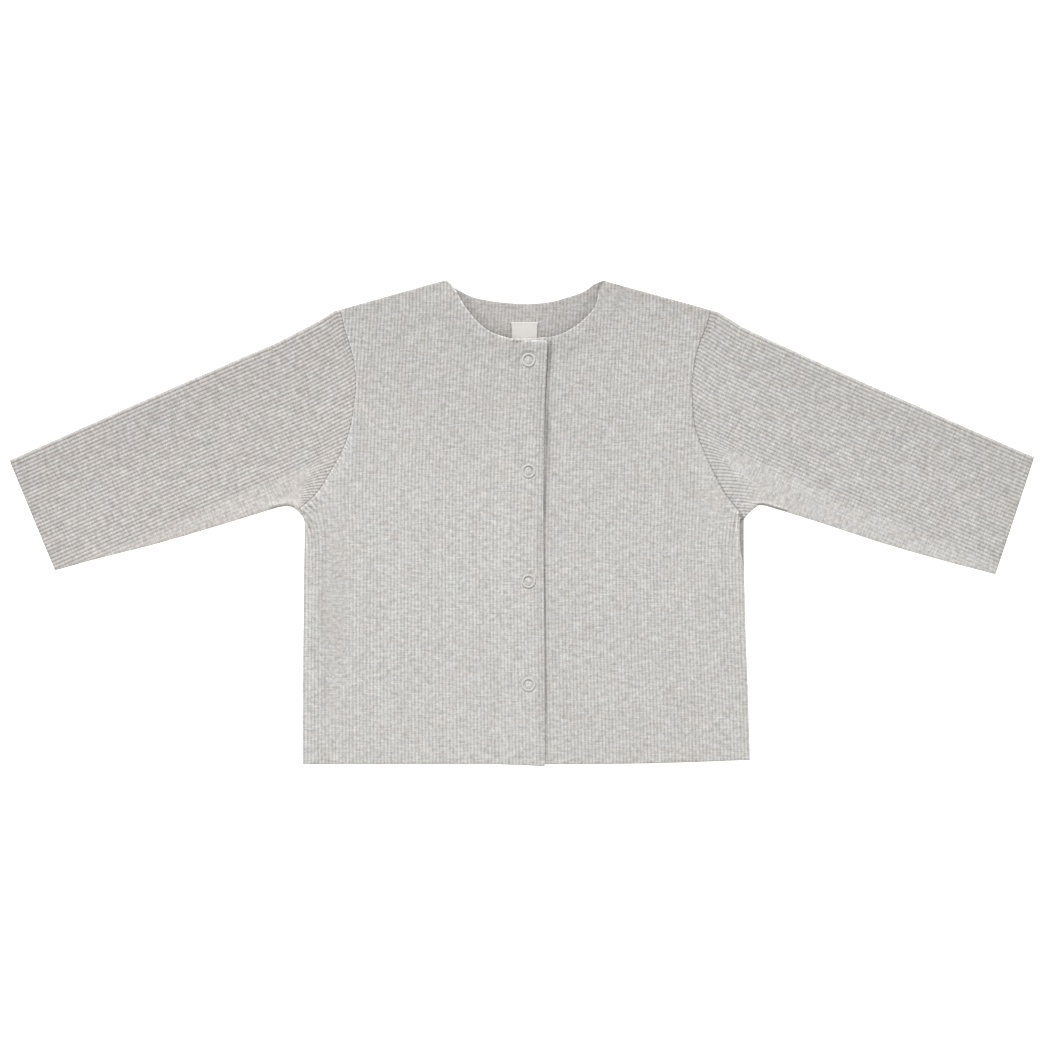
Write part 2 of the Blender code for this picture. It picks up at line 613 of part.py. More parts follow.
def build_label():
    """The bare woven label inside the back neck, a little wider where it is sewn down."""
    middle, top = LABEL_TOP
    foot = top - LABEL_LENGTH
    outline = [Vector((middle + side * width / 2, y)) for side, width, y in
               ((-1, LABEL_WAIST, foot), (1, LABEL_WAIST, foot), (1, LABEL_WAIST, top - LABEL_FLARE),
                (1, LABEL_WIDTH, top), (-1, LABEL_WIDTH, top), (-1, LABEL_WAIST, top - LABEL_FLARE))]
    base = CLOTH + RIB + GAP

    def over(point):
        return (*point, base + LABEL_THICKNESS)

    def under(point):
        return (*point, base)

    sheet("label", outline, [], [], over, under, WOVEN)


def main():
    """Clears the scene and builds the cardigan."""
    for old in list(bpy.data.objects):
        bpy.data.objects.remove(old, do_unlink=True)
    build_back()
    for side in ("left", "right"):
        build_front(side)
        build_sleeve(side)
    build_snaps()
    build_label()


if __name__ == "__main__":
    main()
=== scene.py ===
"""Looks of a baby cardigan in fine rib knit, laid flat on its back with its ring snaps closed.

Metres, +Z up, +X to the wearer's left and +Y to the neck. The cardigan rests on Z = 0.
"""
import logging
from dataclasses import dataclass, field
from enum import Enum
from math import ceil, cos, pi, sin, tau
from typing import Callable, NamedTuple, Sequence

import bpy
import numpy as np
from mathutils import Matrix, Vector
from mathutils.geometry import delaunay_2d_cdt


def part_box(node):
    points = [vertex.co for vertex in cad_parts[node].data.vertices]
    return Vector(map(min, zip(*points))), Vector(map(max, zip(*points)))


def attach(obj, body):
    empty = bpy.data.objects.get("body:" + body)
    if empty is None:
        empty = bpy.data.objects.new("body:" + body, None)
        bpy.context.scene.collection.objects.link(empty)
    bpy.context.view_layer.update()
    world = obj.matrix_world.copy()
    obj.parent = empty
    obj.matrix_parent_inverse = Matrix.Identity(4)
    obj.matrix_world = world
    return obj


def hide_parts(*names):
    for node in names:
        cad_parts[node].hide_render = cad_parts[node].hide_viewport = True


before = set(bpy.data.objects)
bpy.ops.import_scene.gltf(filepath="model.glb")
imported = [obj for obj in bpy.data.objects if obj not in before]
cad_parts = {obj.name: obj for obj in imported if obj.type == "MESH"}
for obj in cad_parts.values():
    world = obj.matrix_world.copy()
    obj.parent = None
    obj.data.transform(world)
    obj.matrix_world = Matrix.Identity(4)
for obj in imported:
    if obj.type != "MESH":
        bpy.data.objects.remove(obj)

Array = np.ndarray
PlanFunction = Callable[[Array], Array]
Pair = tuple[float, float]
Row = tuple[float, ...]
Colour = tuple[float, float, float, float]
Material = bpy.types.Material
Piece = bpy.types.Object

LOG = logging.getLogger("cardigan")
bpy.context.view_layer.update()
BODY = "root"
SAME_PLACE = 2e-6          # points of a cut closer than this are one
NO_LENGTH = 1e-18          # keeps a stretch without length from dividing by nothing


# ---- plain geometry
def ease(share: Array | float) -> Array:
    """Rises smoothly from 0 to 1 as its share does."""
    share = np.clip(share, 0.0, 1.0)
    return share * share * (3 - 2 * share)


def ebb(distance: Array, flat: float, fade: float) -> Array:
    """1 up to a distance, then falling smoothly to 0 over a stretch."""
    return 1 - ease((distance - flat) / fade)


def crest(number: Array) -> Array:
    """How much of a rib stands at a rib number: 0 in a valley, at whole numbers, and 1 on a crest."""
    return 1 - (2 * (number - np.floor(number)) - 1) ** 2


def inside(outline: Array, spots: Array) -> Array:
    """Tells which points of the plan lie within a closed outline.

    Args:
        outline: the corners of the outline, in order.
        spots: the points to look at.

    Returns:
        True for each point that lies within.
    """
    x, y = spots.T
    found = np.zeros(len(spots), bool)
    for start, end in zip(outline, np.roll(outline, -1, axis=0)):
        if start[1] != end[1]:
            crossing = (start[1] > y) != (end[1] > y)
            found ^= crossing & (x < (end[0] - start[0]) * (y - start[1]) / (end[1] - start[1]) + start[0])
    return found


def signed_area(outline: Array) -> float:
    """The area within an outline, positive where it runs counter-clockwise."""
    x, y = outline.T
    return float(np.sum(x * np.roll(y, -1) - np.roll(x, -1) * y) / 2)


def pairs(x: Array | float, y: Array | float) -> Array:
    """Points of the plan from their two coordinates."""
    return np.stack(np.broadcast_arrays(x, y), axis=-1).astype(float)


def grid(columns: Array, rows: Array) -> Array:
    """The points of the plan where columns and rows cross."""
    return np.stack(np.meshgrid(columns, rows), axis=-1).reshape(-1, 2)


@dataclass(frozen=True)
class Run:
    """A run of points in the plan, such as a seam or a free edge."""

    points: Array

    @classmethod
    def smooth(cls, points: Sequence[Sequence[float]], steps: int = 6) -> "Run":
        """Draws a smooth run through a few points.

        Args:
            points: the points to pass through.
            steps: how many steps to take between each two of them.

        Returns:
            The run.
        """
        known = np.array([tuple(point)[:2] for point in points], float)
        known = np.vstack([2 * known[0] - known[1], known, 2 * known[-1] - known[-2]])
        share = np.arange(steps)[:, None] / steps
        parts = []
        for before, start, end, after in zip(known, known[1:], known[2:], known[3:]):
            parts.append(0.5 * (2 * start + (end - before) * share
                                + (2 * before - 5 * start + 4 * end - after) * share ** 2
                                + (3 * start - before - 3 * end + after) * share ** 3))
        return cls(np.vstack([*parts, known[-2:-1]]))

    @classmethod
    def straight(cls, start: Array, end: Array, count: int) -> "Run":
        """A straight run of evenly spaced points."""
        return cls(start + (end - start) * np.linspace(0, 1, count)[:, None])

    def nearest(self, spots: Array) -> tuple[Array, Array]:
        """Measures from points to the nearest stretch of the run.

        Args:
            spots: the points to measure from.

        Returns:
            For each of them its distance, and how far along the run the nearest place lies.
        """
        nearest, along = np.full(len(spots), np.inf), np.zeros(len(spots))
        for start, end, before in zip(self.points, self.points[1:], self.lengths()):
            way = end - start
            share = np.clip((spots - start) @ way / max(way @ way, NO_LENGTH), 0, 1)
            away = np.hypot(*(spots - start - share[:, None] * way).T)
            closer = away < nearest
            nearest[closer] = away[closer]
            along[closer] = before + share[closer] * np.hypot(*way)
        return nearest, along

    def distance(self, spots: Array) -> Array:
        """The distance from each point to the nearest stretch of the run."""
        return self.nearest(spots)[0]

    def lengths(self) -> Array:
        """How far along the run each of its points lies."""
        return np.insert(np.cumsum(np.hypot(*np.diff(self.points, axis=0).T)), 0, 0.0)

    def part(self, first: int, last: int | None, aside: float = 0.0) -> "Run":
        """A part of the run between two of its points, moved to its left by a distance."""
        return Run(self.beside(aside).points[first:last])

    def beside(self, distance: float) -> "Run":
        """Moves the run sideways.

        Args:
            distance: how far to its left.

        Returns:
            The moved run.
        """
        ahead = np.gradient(self.points, axis=0)
        ahead /= np.linalg.norm(ahead, axis=1)[:, None]
        return Run(self.points + np.stack([-ahead[:, 1], ahead[:, 0]], axis=1) * distance)

    def inner_side(self, outline: Array, away: float) -> int:
        """1 where the inside of an outline lies on the run's left, as seen at a distance, or else -1."""
        middle = len(self.points) // 2
        return 1 if inside(outline, self.beside(away).points[middle:middle + 1])[0] else -1

    def longer(self, extra: float) -> "Run":
        """The run drawn out straight at both ends by an extra length."""
        first, last = self.points[0] - self.points[1], self.points[-1] - self.points[-2]
        return Run(np.vstack([self.points[0] + first / np.linalg.norm(first) * extra, self.points,
                              self.points[-1] + last / np.linalg.norm(last) * extra]))


# ---- sheets of cloth as meshes
class Cut(NamedTuple):
    """A flat cut-out filled with triangles."""

    points: Array
    triangles: Array
    border: Array
    sources: list[list[int]]


def kept_stretches(outline: Array, lines: Sequence[Array], to_edge: bool) -> list[Array]:
    """Cuts lines down to the stretches that lie within an outline.

    Args:
        outline: the outline.
        lines: the lines to cut down.
        to_edge: whether each stretch runs on to its next point, past the edge, or stops inside.

    Returns:
        The stretches.
    """
    if not lines:
        return []
    kept = []
    lengths = [len(line) for line in lines]
    within = np.split(inside(outline, np.vstack(lines)), np.cumsum(lengths)[:-1])
    for line, mask in zip(lines, within):
        if to_edge:
            mask = mask | np.append(mask[1:], False) | np.insert(mask[:-1], 0, False)
        marks = np.flatnonzero(np.diff(np.concatenate([[False], mask, [False]]).astype(int)))
        kept.extend(line[start:end] for start, end in zip(marks[::2], marks[1::2]) if end - start > 1)
    return kept


def cut_out(outline: Array, lines: Sequence[Array], spots: Array) -> Cut:
    """Fills an outline with triangles that follow lines and pass through points.

    Args:
        outline: the corners of the outline.
        lines: runs of points whose edges are kept.
        spots: single points that are kept.

    Returns:
        The filled cut-out.
    """
    if signed_area(outline) < 0:
        outline = outline[::-1]
    counts = [len(line) for line in lines]
    points = np.vstack([outline, *lines, spots.reshape(-1, 2)])
    starts = len(outline) + np.cumsum([0, *counts])[:-1]
    edges = [(index, index + 1) for start, count in zip(starts.tolist(), counts)
             for index in range(start, start + count - 1)]
    corners = [Vector(point) for point in points.tolist()]
    within_outline = 1
    placed, _, faces, sources, _, within = delaunay_2d_cdt(
        corners, edges, [range(len(outline))], within_outline, SAME_PLACE)
    triangles = np.array([face for face, known in zip(faces, within) if known], int)
    count = len(placed)
    ahead = np.concatenate([triangles[:, [0, 1]], triangles[:, [1, 2]], triangles[:, [2, 0]]])
    keys, turned = ahead[:, 0] * count + ahead[:, 1], ahead[:, 1] * count + ahead[:, 0]
    following = dict(ahead[~np.isin(keys, turned)].tolist())
    border = [min(following)]
    while following[border[-1]] != border[0]:
        border.append(following[border[-1]])
    return Cut(np.array([point[:2] for point in placed]), triangles, np.array(border), sources)


@dataclass
class Face:
    """One face of a sheet of cloth.

    place gives each point of the flat its place in space. knit gives its rib number, its course
    and how much its rib stands, and painted_light_and_marks how far it is lightened by painted
    highlights, darkened by painted shade (and, on the label, by its stitches) and toned.
    """

    place: PlanFunction
    knit: PlanFunction
    painted_light_and_marks: PlanFunction
    lines: list[Array] = field(default_factory=list)
    spots: Array = field(default_factory=lambda: np.zeros((0, 2)))


def unpainted(spots: Array) -> Array:
    """The painted light and marks of a face that nothing lightens or darkens."""
    return np.zeros((len(spots), 3))


def evenly(share: float) -> PlanFunction:
    """The same share at every point."""
    return lambda spots: np.full(len(spots), share)


@dataclass
class Sheet:
    """A closed piece of cloth between an outer and an inner face, which share one outline."""

    name: str
    outline: Array
    outer: Face
    inner: Face
    sharp: float = 1.0

    def rim_below(self, border: Array, inner: Cut) -> Array:
        """Finds the points of the inner face that lie under the outer face's border.

        Args:
            border: the points of that border, in order.
            inner: the inner face, which was cut to it.

        Returns:
            The number of the inner point under each of them.
        """
        below = np.full(len(border), -1)
        for index, sources in enumerate(inner.sources):
            for source in sources:
                if source < len(border):
                    below[source] = index
        return below[::-1] if signed_area(border) < 0 else below

    def make(self, material: Material) -> Piece:
        """Builds the piece.

        Args:
            material: its finish.

        Returns:
            The piece.
        """
        lines = kept_stretches(self.outline, self.outer.lines, to_edge=True)
        outer = cut_out(self.outline, lines, self.outer.spots)
        border = outer.points[outer.border]
        lines = kept_stretches(border, self.inner.lines, to_edge=False)
        spots = self.inner.spots
        if len(spots):
            spots = spots[inside(border, spots)]
        inner = cut_out(border, lines, spots)
        under = self.rim_below(border, inner) + len(outer.points)
        rim, beyond, under_beyond = outer.border, np.roll(outer.border, -1), np.roll(under, -1)
        triangles = np.vstack([outer.triangles, inner.triangles[:, ::-1] + len(outer.points),
                               np.stack([rim, under, under_beyond], axis=1),
                               np.stack([rim, under_beyond, beyond], axis=1)])
        places, knit, painted_light_and_marks = (np.vstack([getattr(self.outer, told)(outer.points),
                                         getattr(self.inner, told)(inner.points)])
                              for told in ("place", "knit", "painted_light_and_marks"))
        return mesh_piece(self.name, places, triangles, {"knit": knit, "painted_light_and_marks": painted_light_and_marks}, material, self.sharp)


def mesh_piece(name: str, places: Array, faces: Array, marks: dict[str, Array],
               material: Material, sharp: float) -> Piece:
    """Makes a mesh object from numbers.

    Args:
        name: the piece's name.
        places: its points.
        faces: the corners of each face.
        marks: vectors kept at each point, by name, for the finish to read.
        material: its finish.
        sharp: the angle in radians past which an edge shows.

    Returns:
        The object, with unused points removed.
    """
    used = np.unique(faces)
    renumber = np.full(len(places), -1)
    renumber[used] = np.arange(len(used))
    data = bpy.data.meshes.new(name)
    data.from_pydata(places[used].tolist(), [], renumber[faces].tolist())
    data.shade_smooth()
    data.set_sharp_from_angle(angle=sharp)
    for key, values in marks.items():
        layer = data.attributes.new(key, "FLOAT_VECTOR", "POINT")
        layer.data.foreach_set("vector", values[used].astype(float).ravel())
    data.materials.append(material)
    return put(name, data)


def put(name: str, data: bpy.types.ID) -> Piece:
    """Puts a new object into the scene.

    Args:
        name: its name.
        data: its mesh, light or camera.

    Returns:
        The object.
    """
    made = bpy.data.objects.new(name, data)
    bpy.context.scene.collection.objects.link(made)
    return made


def hand_over(piece: Piece, node: str) -> None:
    """Puts a piece in the place of its CAD node and reports it.

    Args:
        piece: the piece.
        node: the node that it replaces.
    """
    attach(piece, BODY)
    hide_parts(node)
    LOG.info("%s: %d faces", piece.name, len(piece.data.polygons))


def lay_panel(piece: Piece, node: str, outline: Array) -> None:
    """Args:
        piece: the panel.
        node: the node that it replaces.
        outline: its cut in the flat.
    """
    width, length = np.ptp(outline, axis=0)
    hand_over(piece, node)
    abs(signed_area(outline))


# ---- the cloth and its small forms
@dataclass(frozen=True)
class Cloth:
    """The rib knit that every panel is cut from, and how its edges go."""

    thickness: float = 0.0012
    rib: float = 0.00045
    band: float = 0.0020
    gap: float = 0.0003
    course: float = 0.00125
    roll: float = 0.0025
    roll_left: float = 0.4
    row_step: float = 0.0030

    def seam_share(self, distance: Array) -> Array:
        """How much of the thickness is left at a distance from a seamed edge, which rolls off."""
        share = np.minimum(distance / self.roll, 1.0)
        return self.roll_left + (1 - self.roll_left) * np.sqrt(1 - (1 - share) ** 2)

    def seam_rows(self, seams: Sequence[Run], outline: Array) -> list[Array]:
        """The lines beside seamed edges that their roll needs, on the inner side of an outline."""
        return [row for seam in seams for row in EdgeFinish(seam, self.roll, 0.0).rows(outline)]


@dataclass(frozen=True)
class Crease:
    """A soft uneven ridge, or a trough where its height is negative, pressed into the cloth.

    It wanders sideways by a share of its width and swells and thins along its way, each so many
    times. The phases keep creases of different sizes from doing so alike. Its tone paints light
    onto a ridge and shade into a trough.
    """

    start: Pair
    end: Pair
    width: float
    height: float
    tone: float = 0.0
    fade: float = 0.25
    wander: float = 0.35
    wander_turns: float = 1.7
    wander_phase: float = 40.0
    swell: float = 0.22
    swell_turns: float = 2.6
    swell_phase: float = 7.0

    def share(self, spots: Array) -> Array:
        """Measures the crease.

        Args:
            spots: points of the plan.

        Returns:
            How much of the crease there is at each of them.
        """
        start, way = np.array(self.start), np.subtract(self.end, self.start)
        length = float(np.hypot(*way))
        along = (spots - start) @ way / length ** 2
        across = (spots - start) @ np.array([-way[1], way[0]]) / length
        wander = self.wander * self.width * np.sin(
            tau * (self.wander_turns * along + self.wander_phase * self.width + length))
        uneven = 1 + self.swell * np.sin(tau * (self.swell_turns * along + self.swell_phase * length))
        ends = ease(along / self.fade) * ease((1 - along) / self.fade)
        return np.exp(-((across - wander) / self.width) ** 2) * uneven * ends


@dataclass(frozen=True)
class CalmSpot:
    """A patch where the cloth is drawn flat, so that its ribs stand less.

    end is where the patch has died out, in parts of its reach from the centre.
    """

    centre: Pair
    reach: Pair
    turn: float
    left: float
    tone: float = 0.0
    end: float = 1.4

    def share(self, spots: Array) -> Array:
        """Measures the patch.

        Args:
            spots: points of the plan.

        Returns:
            How far each of them lies within it, 0 to 1.
        """
        away = spots - np.array(self.centre)
        along = (away[:, 0] * cos(self.turn) + away[:, 1] * sin(self.turn)) / self.reach[0]
        across = (away[:, 1] * cos(self.turn) - away[:, 0] * sin(self.turn)) / self.reach[1]
        return ease(self.end - np.hypot(along, across))


@dataclass(frozen=True)
class EdgeFinish:
    """How one edge of a panel goes: rounded off over a width, with a line of painted highlight (light) or
    painted shade (dark) along it.
    """

    run: Run
    width: float
    drop: float
    light: float = 0.0
    dark: float = 0.0
    line: float = 0.0009
    smooth: float = 0.0
    tone: float = 0.0
    row_shares: Row = (0.12, 0.35, 0.7, 1.0)
    overrun: float = 0.002

    def fall(self, spots: Array) -> Array:
        """How far the face falls at each point."""
        share = np.clip(self.run.distance(spots) / self.width, 0, 1)
        return self.drop * (1 - np.sqrt(np.maximum(1 - (1 - share) ** 2, 0)))

    def rows(self, outline: Array) -> list[Array]:
        """The lines beside the edge that its rounding needs, on the inner side of an outline."""
        turn = self.run.inner_side(outline, self.width / 2)
        return [self.run.beside(turn * self.width * share).longer(self.overrun).points
                for share in self.row_shares]


@dataclass(frozen=True)
class Gathers:
    """Small puckers that lean away from a seam, where more cloth is sewn in than it takes.

    They come in and die out over two lengths of the seam, and their spacing sways. Their tone
    paints light on their crests and shade in their hollows. row_away gives how far from the seam
    the lines along a pucker have their points.
    """

    seam: Run
    first: float
    last: float
    pitch: float = 0.0027
    reach: float = 0.0045
    height: float = 0.00032
    lean: float = 0.5
    tone: float = 0.10
    flatten: float = 0.7
    fade_in: float = 0.015
    fade_out: float = 0.004
    fall: float = 1.5
    sway: float = 1.3
    sway_turns: float = 0.9
    per_pucker: int = 5
    row_away: Row = (0.0003, 0.0009, 0.0016, 0.0025, 0.0036, 0.0050, 0.0066)

    def near(self, spots: Array) -> tuple[Array, Array, Array]:
        """Measures from points to the seam.

        Args:
            spots: points of the plan.

        Returns:
            For each of them its distance, its place along the seam and how far the puckers reach it.
        """
        away, along = self.seam.nearest(spots)
        ends = ease((along - self.first) / self.fade_in) * ease((self.last - along) / self.fade_out)
        return away, along, np.exp(-(away / self.reach) ** self.fall) * ends

    def share(self, spots: Array) -> Array:
        """Measures the puckers.

        Args:
            spots: points of the plan.

        Returns:
            How high the puckers stand at each of them, from -1 to 1.
        """
        away, along, reach = self.near(spots)
        turn = (along - self.lean * away) / self.pitch
        return np.sin(tau * turn + self.sway * np.sin(self.sway_turns * turn)) * reach

    def rows(self, outline: Array) -> list[Array]:
        """Draws the lines that run out along the puckers.

        Args:
            outline: the outline within which they lie.

        Returns:
            The lines.
        """
        turn = self.seam.inner_side(outline, self.row_away[0])
        places = np.arange(self.first, self.last, self.pitch / self.per_pucker)
        lengths = self.seam.lengths()
        steps = []
        for away in self.row_away:
            moved = self.seam.beside(turn * away).points
            steps.append(pairs(*(np.interp(places + self.lean * away, lengths, known) for known in moved.T)))
        return list(np.stack(steps, axis=1))


@dataclass(frozen=True)
class Relief:
    """The edges, creases and calm patches of one face, worked out for its points.

    tones gives heights in the plan, and how far painted shade darkens the cloth at each of them.
    """

    edges: tuple[EdgeFinish, ...] = ()
    creases: tuple[Crease, ...] = ()
    calm: tuple[CalmSpot, ...] = ()
    gathers: tuple[Gathers, ...] = ()
    tones: tuple[Row, Row] = ((0.0,), (0.0,))

    def stand(self, spots: Array) -> Array:
        """Tells how much of the ribs is left.

        Args:
            spots: points of the face.

        Returns:
            The share that is left at each of them.
        """
        left = np.ones(len(spots))
        for patch in self.calm:
            left *= 1 - (1 - patch.left) * patch.share(spots)
        for edge in self.edges:
            if edge.smooth:
                left *= 1 - edge.smooth * np.exp(-(edge.run.distance(spots) / edge.line / 2) ** 2)
        for gathers in self.gathers:
            left *= 1 - gathers.flatten * gathers.near(spots)[2]
        return left

    def rise(self, spots: Array) -> Array:
        """How far the creases raise each point."""
        return sum((mark.height * mark.share(spots) for mark in (*self.creases, *self.gathers)),
                   np.zeros(len(spots)))

    def fall(self, spots: Array) -> Array:
        """How far the edges lower each point."""
        return np.max([np.zeros(len(spots)), *(edge.fall(spots) for edge in self.edges)], axis=0)

    def painted_light_and_marks(self, spots: Array) -> Array:
        """Tells how the face reads: painted highlights and shade along its edges and on its creases and
        puckers, darker calm patches, and painted shade by height.

        Args:
            spots: points of the face.

        Returns:
            How far each of them is lightened and darkened by painted highlight and shade, and toned.
        """
        marks = unpainted(spots)
        for edge in self.edges:
            near = np.exp(-(edge.run.distance(spots) / edge.line) ** 2)
            marks[:, 0] = np.maximum(marks[:, 0], edge.light * near)
            marks[:, 1] = np.maximum(marks[:, 1], edge.dark * near)
            marks[:, 2] += edge.tone * near
        for mark in (*self.creases, *self.calm, *self.gathers):
            if mark.tone:
                marks[:, 2] += mark.tone * mark.share(spots)
        marks[:, 2] += np.interp(spots[:, 1], *self.tones)
        return marks


# ---- the plan of the body
class Wearer(Enum):
    """The wearer's two sides, with the sign of their X."""

    RIGHT = -1
    LEFT = 1


class Sides(NamedTuple):
    """One value for each of the wearer's sides."""

    right: object
    left: object

    def of(self, side: Wearer) -> object:
        """The value for one side."""
        return self.left if side is Wearer.LEFT else self.right


@dataclass(frozen=True)
class BodyCut:
    """The seams and free edges of the body. Each place is (distance out from the middle, y)."""

    neck_point: Sides = Sides((0.0530, 0.1650), (0.0554, 0.1649))
    shoulder_tip: Sides = Sides((0.1232, 0.1452), (0.1285, 0.1448))
    underarm: Sides = Sides((0.1524, 0.0082), (0.1512, 0.0030))
    side_y: Row = (-0.1600, -0.1140, -0.0800, -0.0320, -0.0180, 0.0010)
    side_out: Sides = Sides((0.1489, 0.1489, 0.1487, 0.1482, 0.1480, 0.1479),
                            (0.1550, 0.1536, 0.1523, 0.1510, 0.1508, 0.1508))
    side_tuck: Row = (0.0, 0.0, 0.0, 0.0004, 0.0022, 0.0027)
    armhole_y: Row = (0.1330, 0.1220, 0.1090, 0.0945, 0.0800, 0.0660, 0.0510, 0.0350, 0.0210)
    armhole_out: Sides = Sides((0.1206, 0.1172, 0.1139, 0.1127, 0.1142, 0.1163, 0.1212, 0.1300, 0.1388),
                               (0.1249, 0.1204, 0.1173, 0.1154, 0.1160, 0.1174, 0.1225, 0.1299, 0.1374))
    front_neck: Sides = Sides(
        ((0.0490, 0.1635), (0.0449, 0.1578), (0.0394, 0.1482), (0.0320, 0.1387),
         (0.0245, 0.1319), (0.0170, 0.1282), (0.0061, 0.1251), (-0.0041, 0.1244)),
        ((0.0519, 0.1620), (0.0510, 0.1510), (0.0469, 0.1435), (0.0374, 0.1346),
         (0.0265, 0.1285), (0.0184, 0.1265), (0.0050, 0.1256)))
    edge_y: Row = (-0.1200, 0.0000, 0.0700, 0.1238)
    edge_out: Sides = Sides((-0.0156, -0.0146, -0.0150, -0.0177), (-0.0075, -0.0075, -0.0075, -0.0075))
    edge_top: Sides = Sides((-0.0177, 0.1238), (-0.0075, 0.1253))
    edge_stations: Row = (0.1150, 0.1080, 0.0970, 0.0850, 0.0450, 0.0000, -0.0800)
    corner_reach: float = 0.0028
    corner_clear: float = 1.2
    corner_half: int = 4
    front_hem: Sides = Sides(
        ((-0.0156, -0.1652), (0.0010, -0.1644), (0.0300, -0.1639), (0.1489, -0.1639)),
        ((-0.0075, -0.1642), (0.0700, -0.1637), (0.1200, -0.1624), (0.1550, -0.1610)))
    back_neck: tuple[Pair, ...] = (
        (-0.0485, 0.1617), (-0.0422, 0.1579), (-0.0354, 0.1546), (-0.0286, 0.1525), (-0.0150, 0.1503),
        (0.0020, 0.1491), (0.0180, 0.1502), (0.0290, 0.1530), (0.0394, 0.1563), (0.0449, 0.1593),
        (0.0490, 0.1625))

    @staticmethod
    def spots(side: Wearer, places: Sequence[Pair]) -> list[Pair]:
        """Points of the plan from places given out from the middle."""
        return [(side.value * out, y) for out, y in places]

    def armhole(self, side: Wearer) -> Run:
        """The armhole seam, from the shoulder tip to the underarm."""
        rows = zip(self.armhole_out.of(side), self.armhole_y)
        return Run.smooth(self.spots(side, [self.shoulder_tip.of(side), *rows, self.underarm.of(side)]))

    def side_seam(self, side: Wearer, tucked: bool = False) -> Run:
        """The side of the body, from the hem up to the underarm, drawn in where the front is tucked."""
        rows = [(out - (tuck if tucked else 0.0), y)
                for out, y, tuck in zip(self.side_out.of(side), self.side_y, self.side_tuck)]
        return Run.smooth(self.spots(side, [self.front_hem.of(side)[-1], *rows[1:], self.underarm.of(side)]))

    def shoulder(self, side: Wearer) -> Run:
        """The shoulder seam, from its tip to the neck."""
        ends = self.spots(side, [self.shoulder_tip.of(side), self.neck_point.of(side)])
        return Run.straight(*np.array(ends), 13)

    def edge_rows(self, side: Wearer) -> list[Pair]:
        """Places along a front's free edge, below its top corner."""
        out = np.interp(self.edge_stations, self.edge_y, self.edge_out.of(side))
        return list(zip(out, self.edge_stations))

    def corner(self, side: Wearer) -> Array:
        """Rounds the corner where a front's neck edge turns down into its free edge.

        Args:
            side: whose front it is.

        Returns:
            The points of the rounded corner.
        """
        before, top, after = np.array(self.spots(side, [self.front_neck.of(side)[-1], self.edge_top.of(side),
                                                        self.edge_rows(side)[0]]))
        start, end = (top + (other - top) / np.linalg.norm(other - top) * self.corner_reach
                      for other in (before, after))
        share = np.linspace(0, 1, 2 * self.corner_half + 1)[:, None]
        return (1 - share) ** 2 * start + 2 * share * (1 - share) * top + share ** 2 * end

    def clear_of_corner(self, side: Wearer, places: Sequence[Pair]) -> Array:
        """Draws a smooth run that stops short of a front's rounded corner.

        Args:
            side: whose front it is.
            places: the places to pass through.

        Returns:
            The points of the run.
        """
        points = Run.smooth(self.spots(side, places)).points
        top = np.array(self.spots(side, [self.edge_top.of(side)])[0])
        return points[np.linalg.norm(points - top, axis=1) > self.corner_clear * self.corner_reach]

    def neck(self, side: Wearer) -> Run:
        """A front's neck edge, from the shoulder to the middle of its rounded corner."""
        places = [self.neck_point.of(side), *self.front_neck.of(side), self.edge_top.of(side)]
        return Run(np.vstack([self.clear_of_corner(side, places), self.corner(side)[:self.corner_half + 1]]))

    def front_edge(self, side: Wearer) -> Run:
        """A front's free edge, from the middle of its rounded corner down to the hem."""
        places = [self.edge_top.of(side), *self.edge_rows(side), self.front_hem.of(side)[0]]
        return Run(np.vstack([self.corner(side)[self.corner_half:], self.clear_of_corner(side, places)]))

    def hem(self, side: Wearer) -> Run:
        """A front's hem, from its front edge out to the side."""
        return Run.smooth(self.spots(side, self.front_hem.of(side)))

    def back_neck_edge(self) -> Run:
        """The back's neck edge, from the wearer's left to the right."""
        ends = [self.spots(side, [self.neck_point.of(side)])[0] for side in (Wearer.LEFT, Wearer.RIGHT)]
        return Run.smooth([ends[0], *reversed(self.back_neck), ends[1]])

    def front_outline(self, side: Wearer) -> Array:
        """A front's cut, from the foot of its front edge round by hem, side, armhole and neck."""
        runs = [self.hem(side).points, self.side_seam(side, side is Wearer.LEFT).points,
                self.armhole(side).points[::-1], self.shoulder(side).points, self.neck(side).points,
                self.front_edge(side).points]
        return np.vstack([run[:-1] for run in runs])

    def back_outline(self) -> Array:
        """Joins up the back's cut.

        Returns:
            Its outline, from the right hem corner round by left side, neck and right side.
        """
        hem = self.spots(Wearer.RIGHT, self.front_hem.right[-1:-3:-1]) + self.spots(
            Wearer.LEFT, self.front_hem.left[1:])
        left, right = ([self.side_seam(side), self.armhole(side), self.shoulder(side)]
                       for side in (Wearer.LEFT, Wearer.RIGHT))
        runs = [Run.smooth(hem).points, left[0].points, left[1].points[::-1], left[2].points,
                self.back_neck_edge().points, right[2].points[::-1], right[1].points, right[0].points[::-1]]
        return np.vstack([run[:-1] for run in runs])


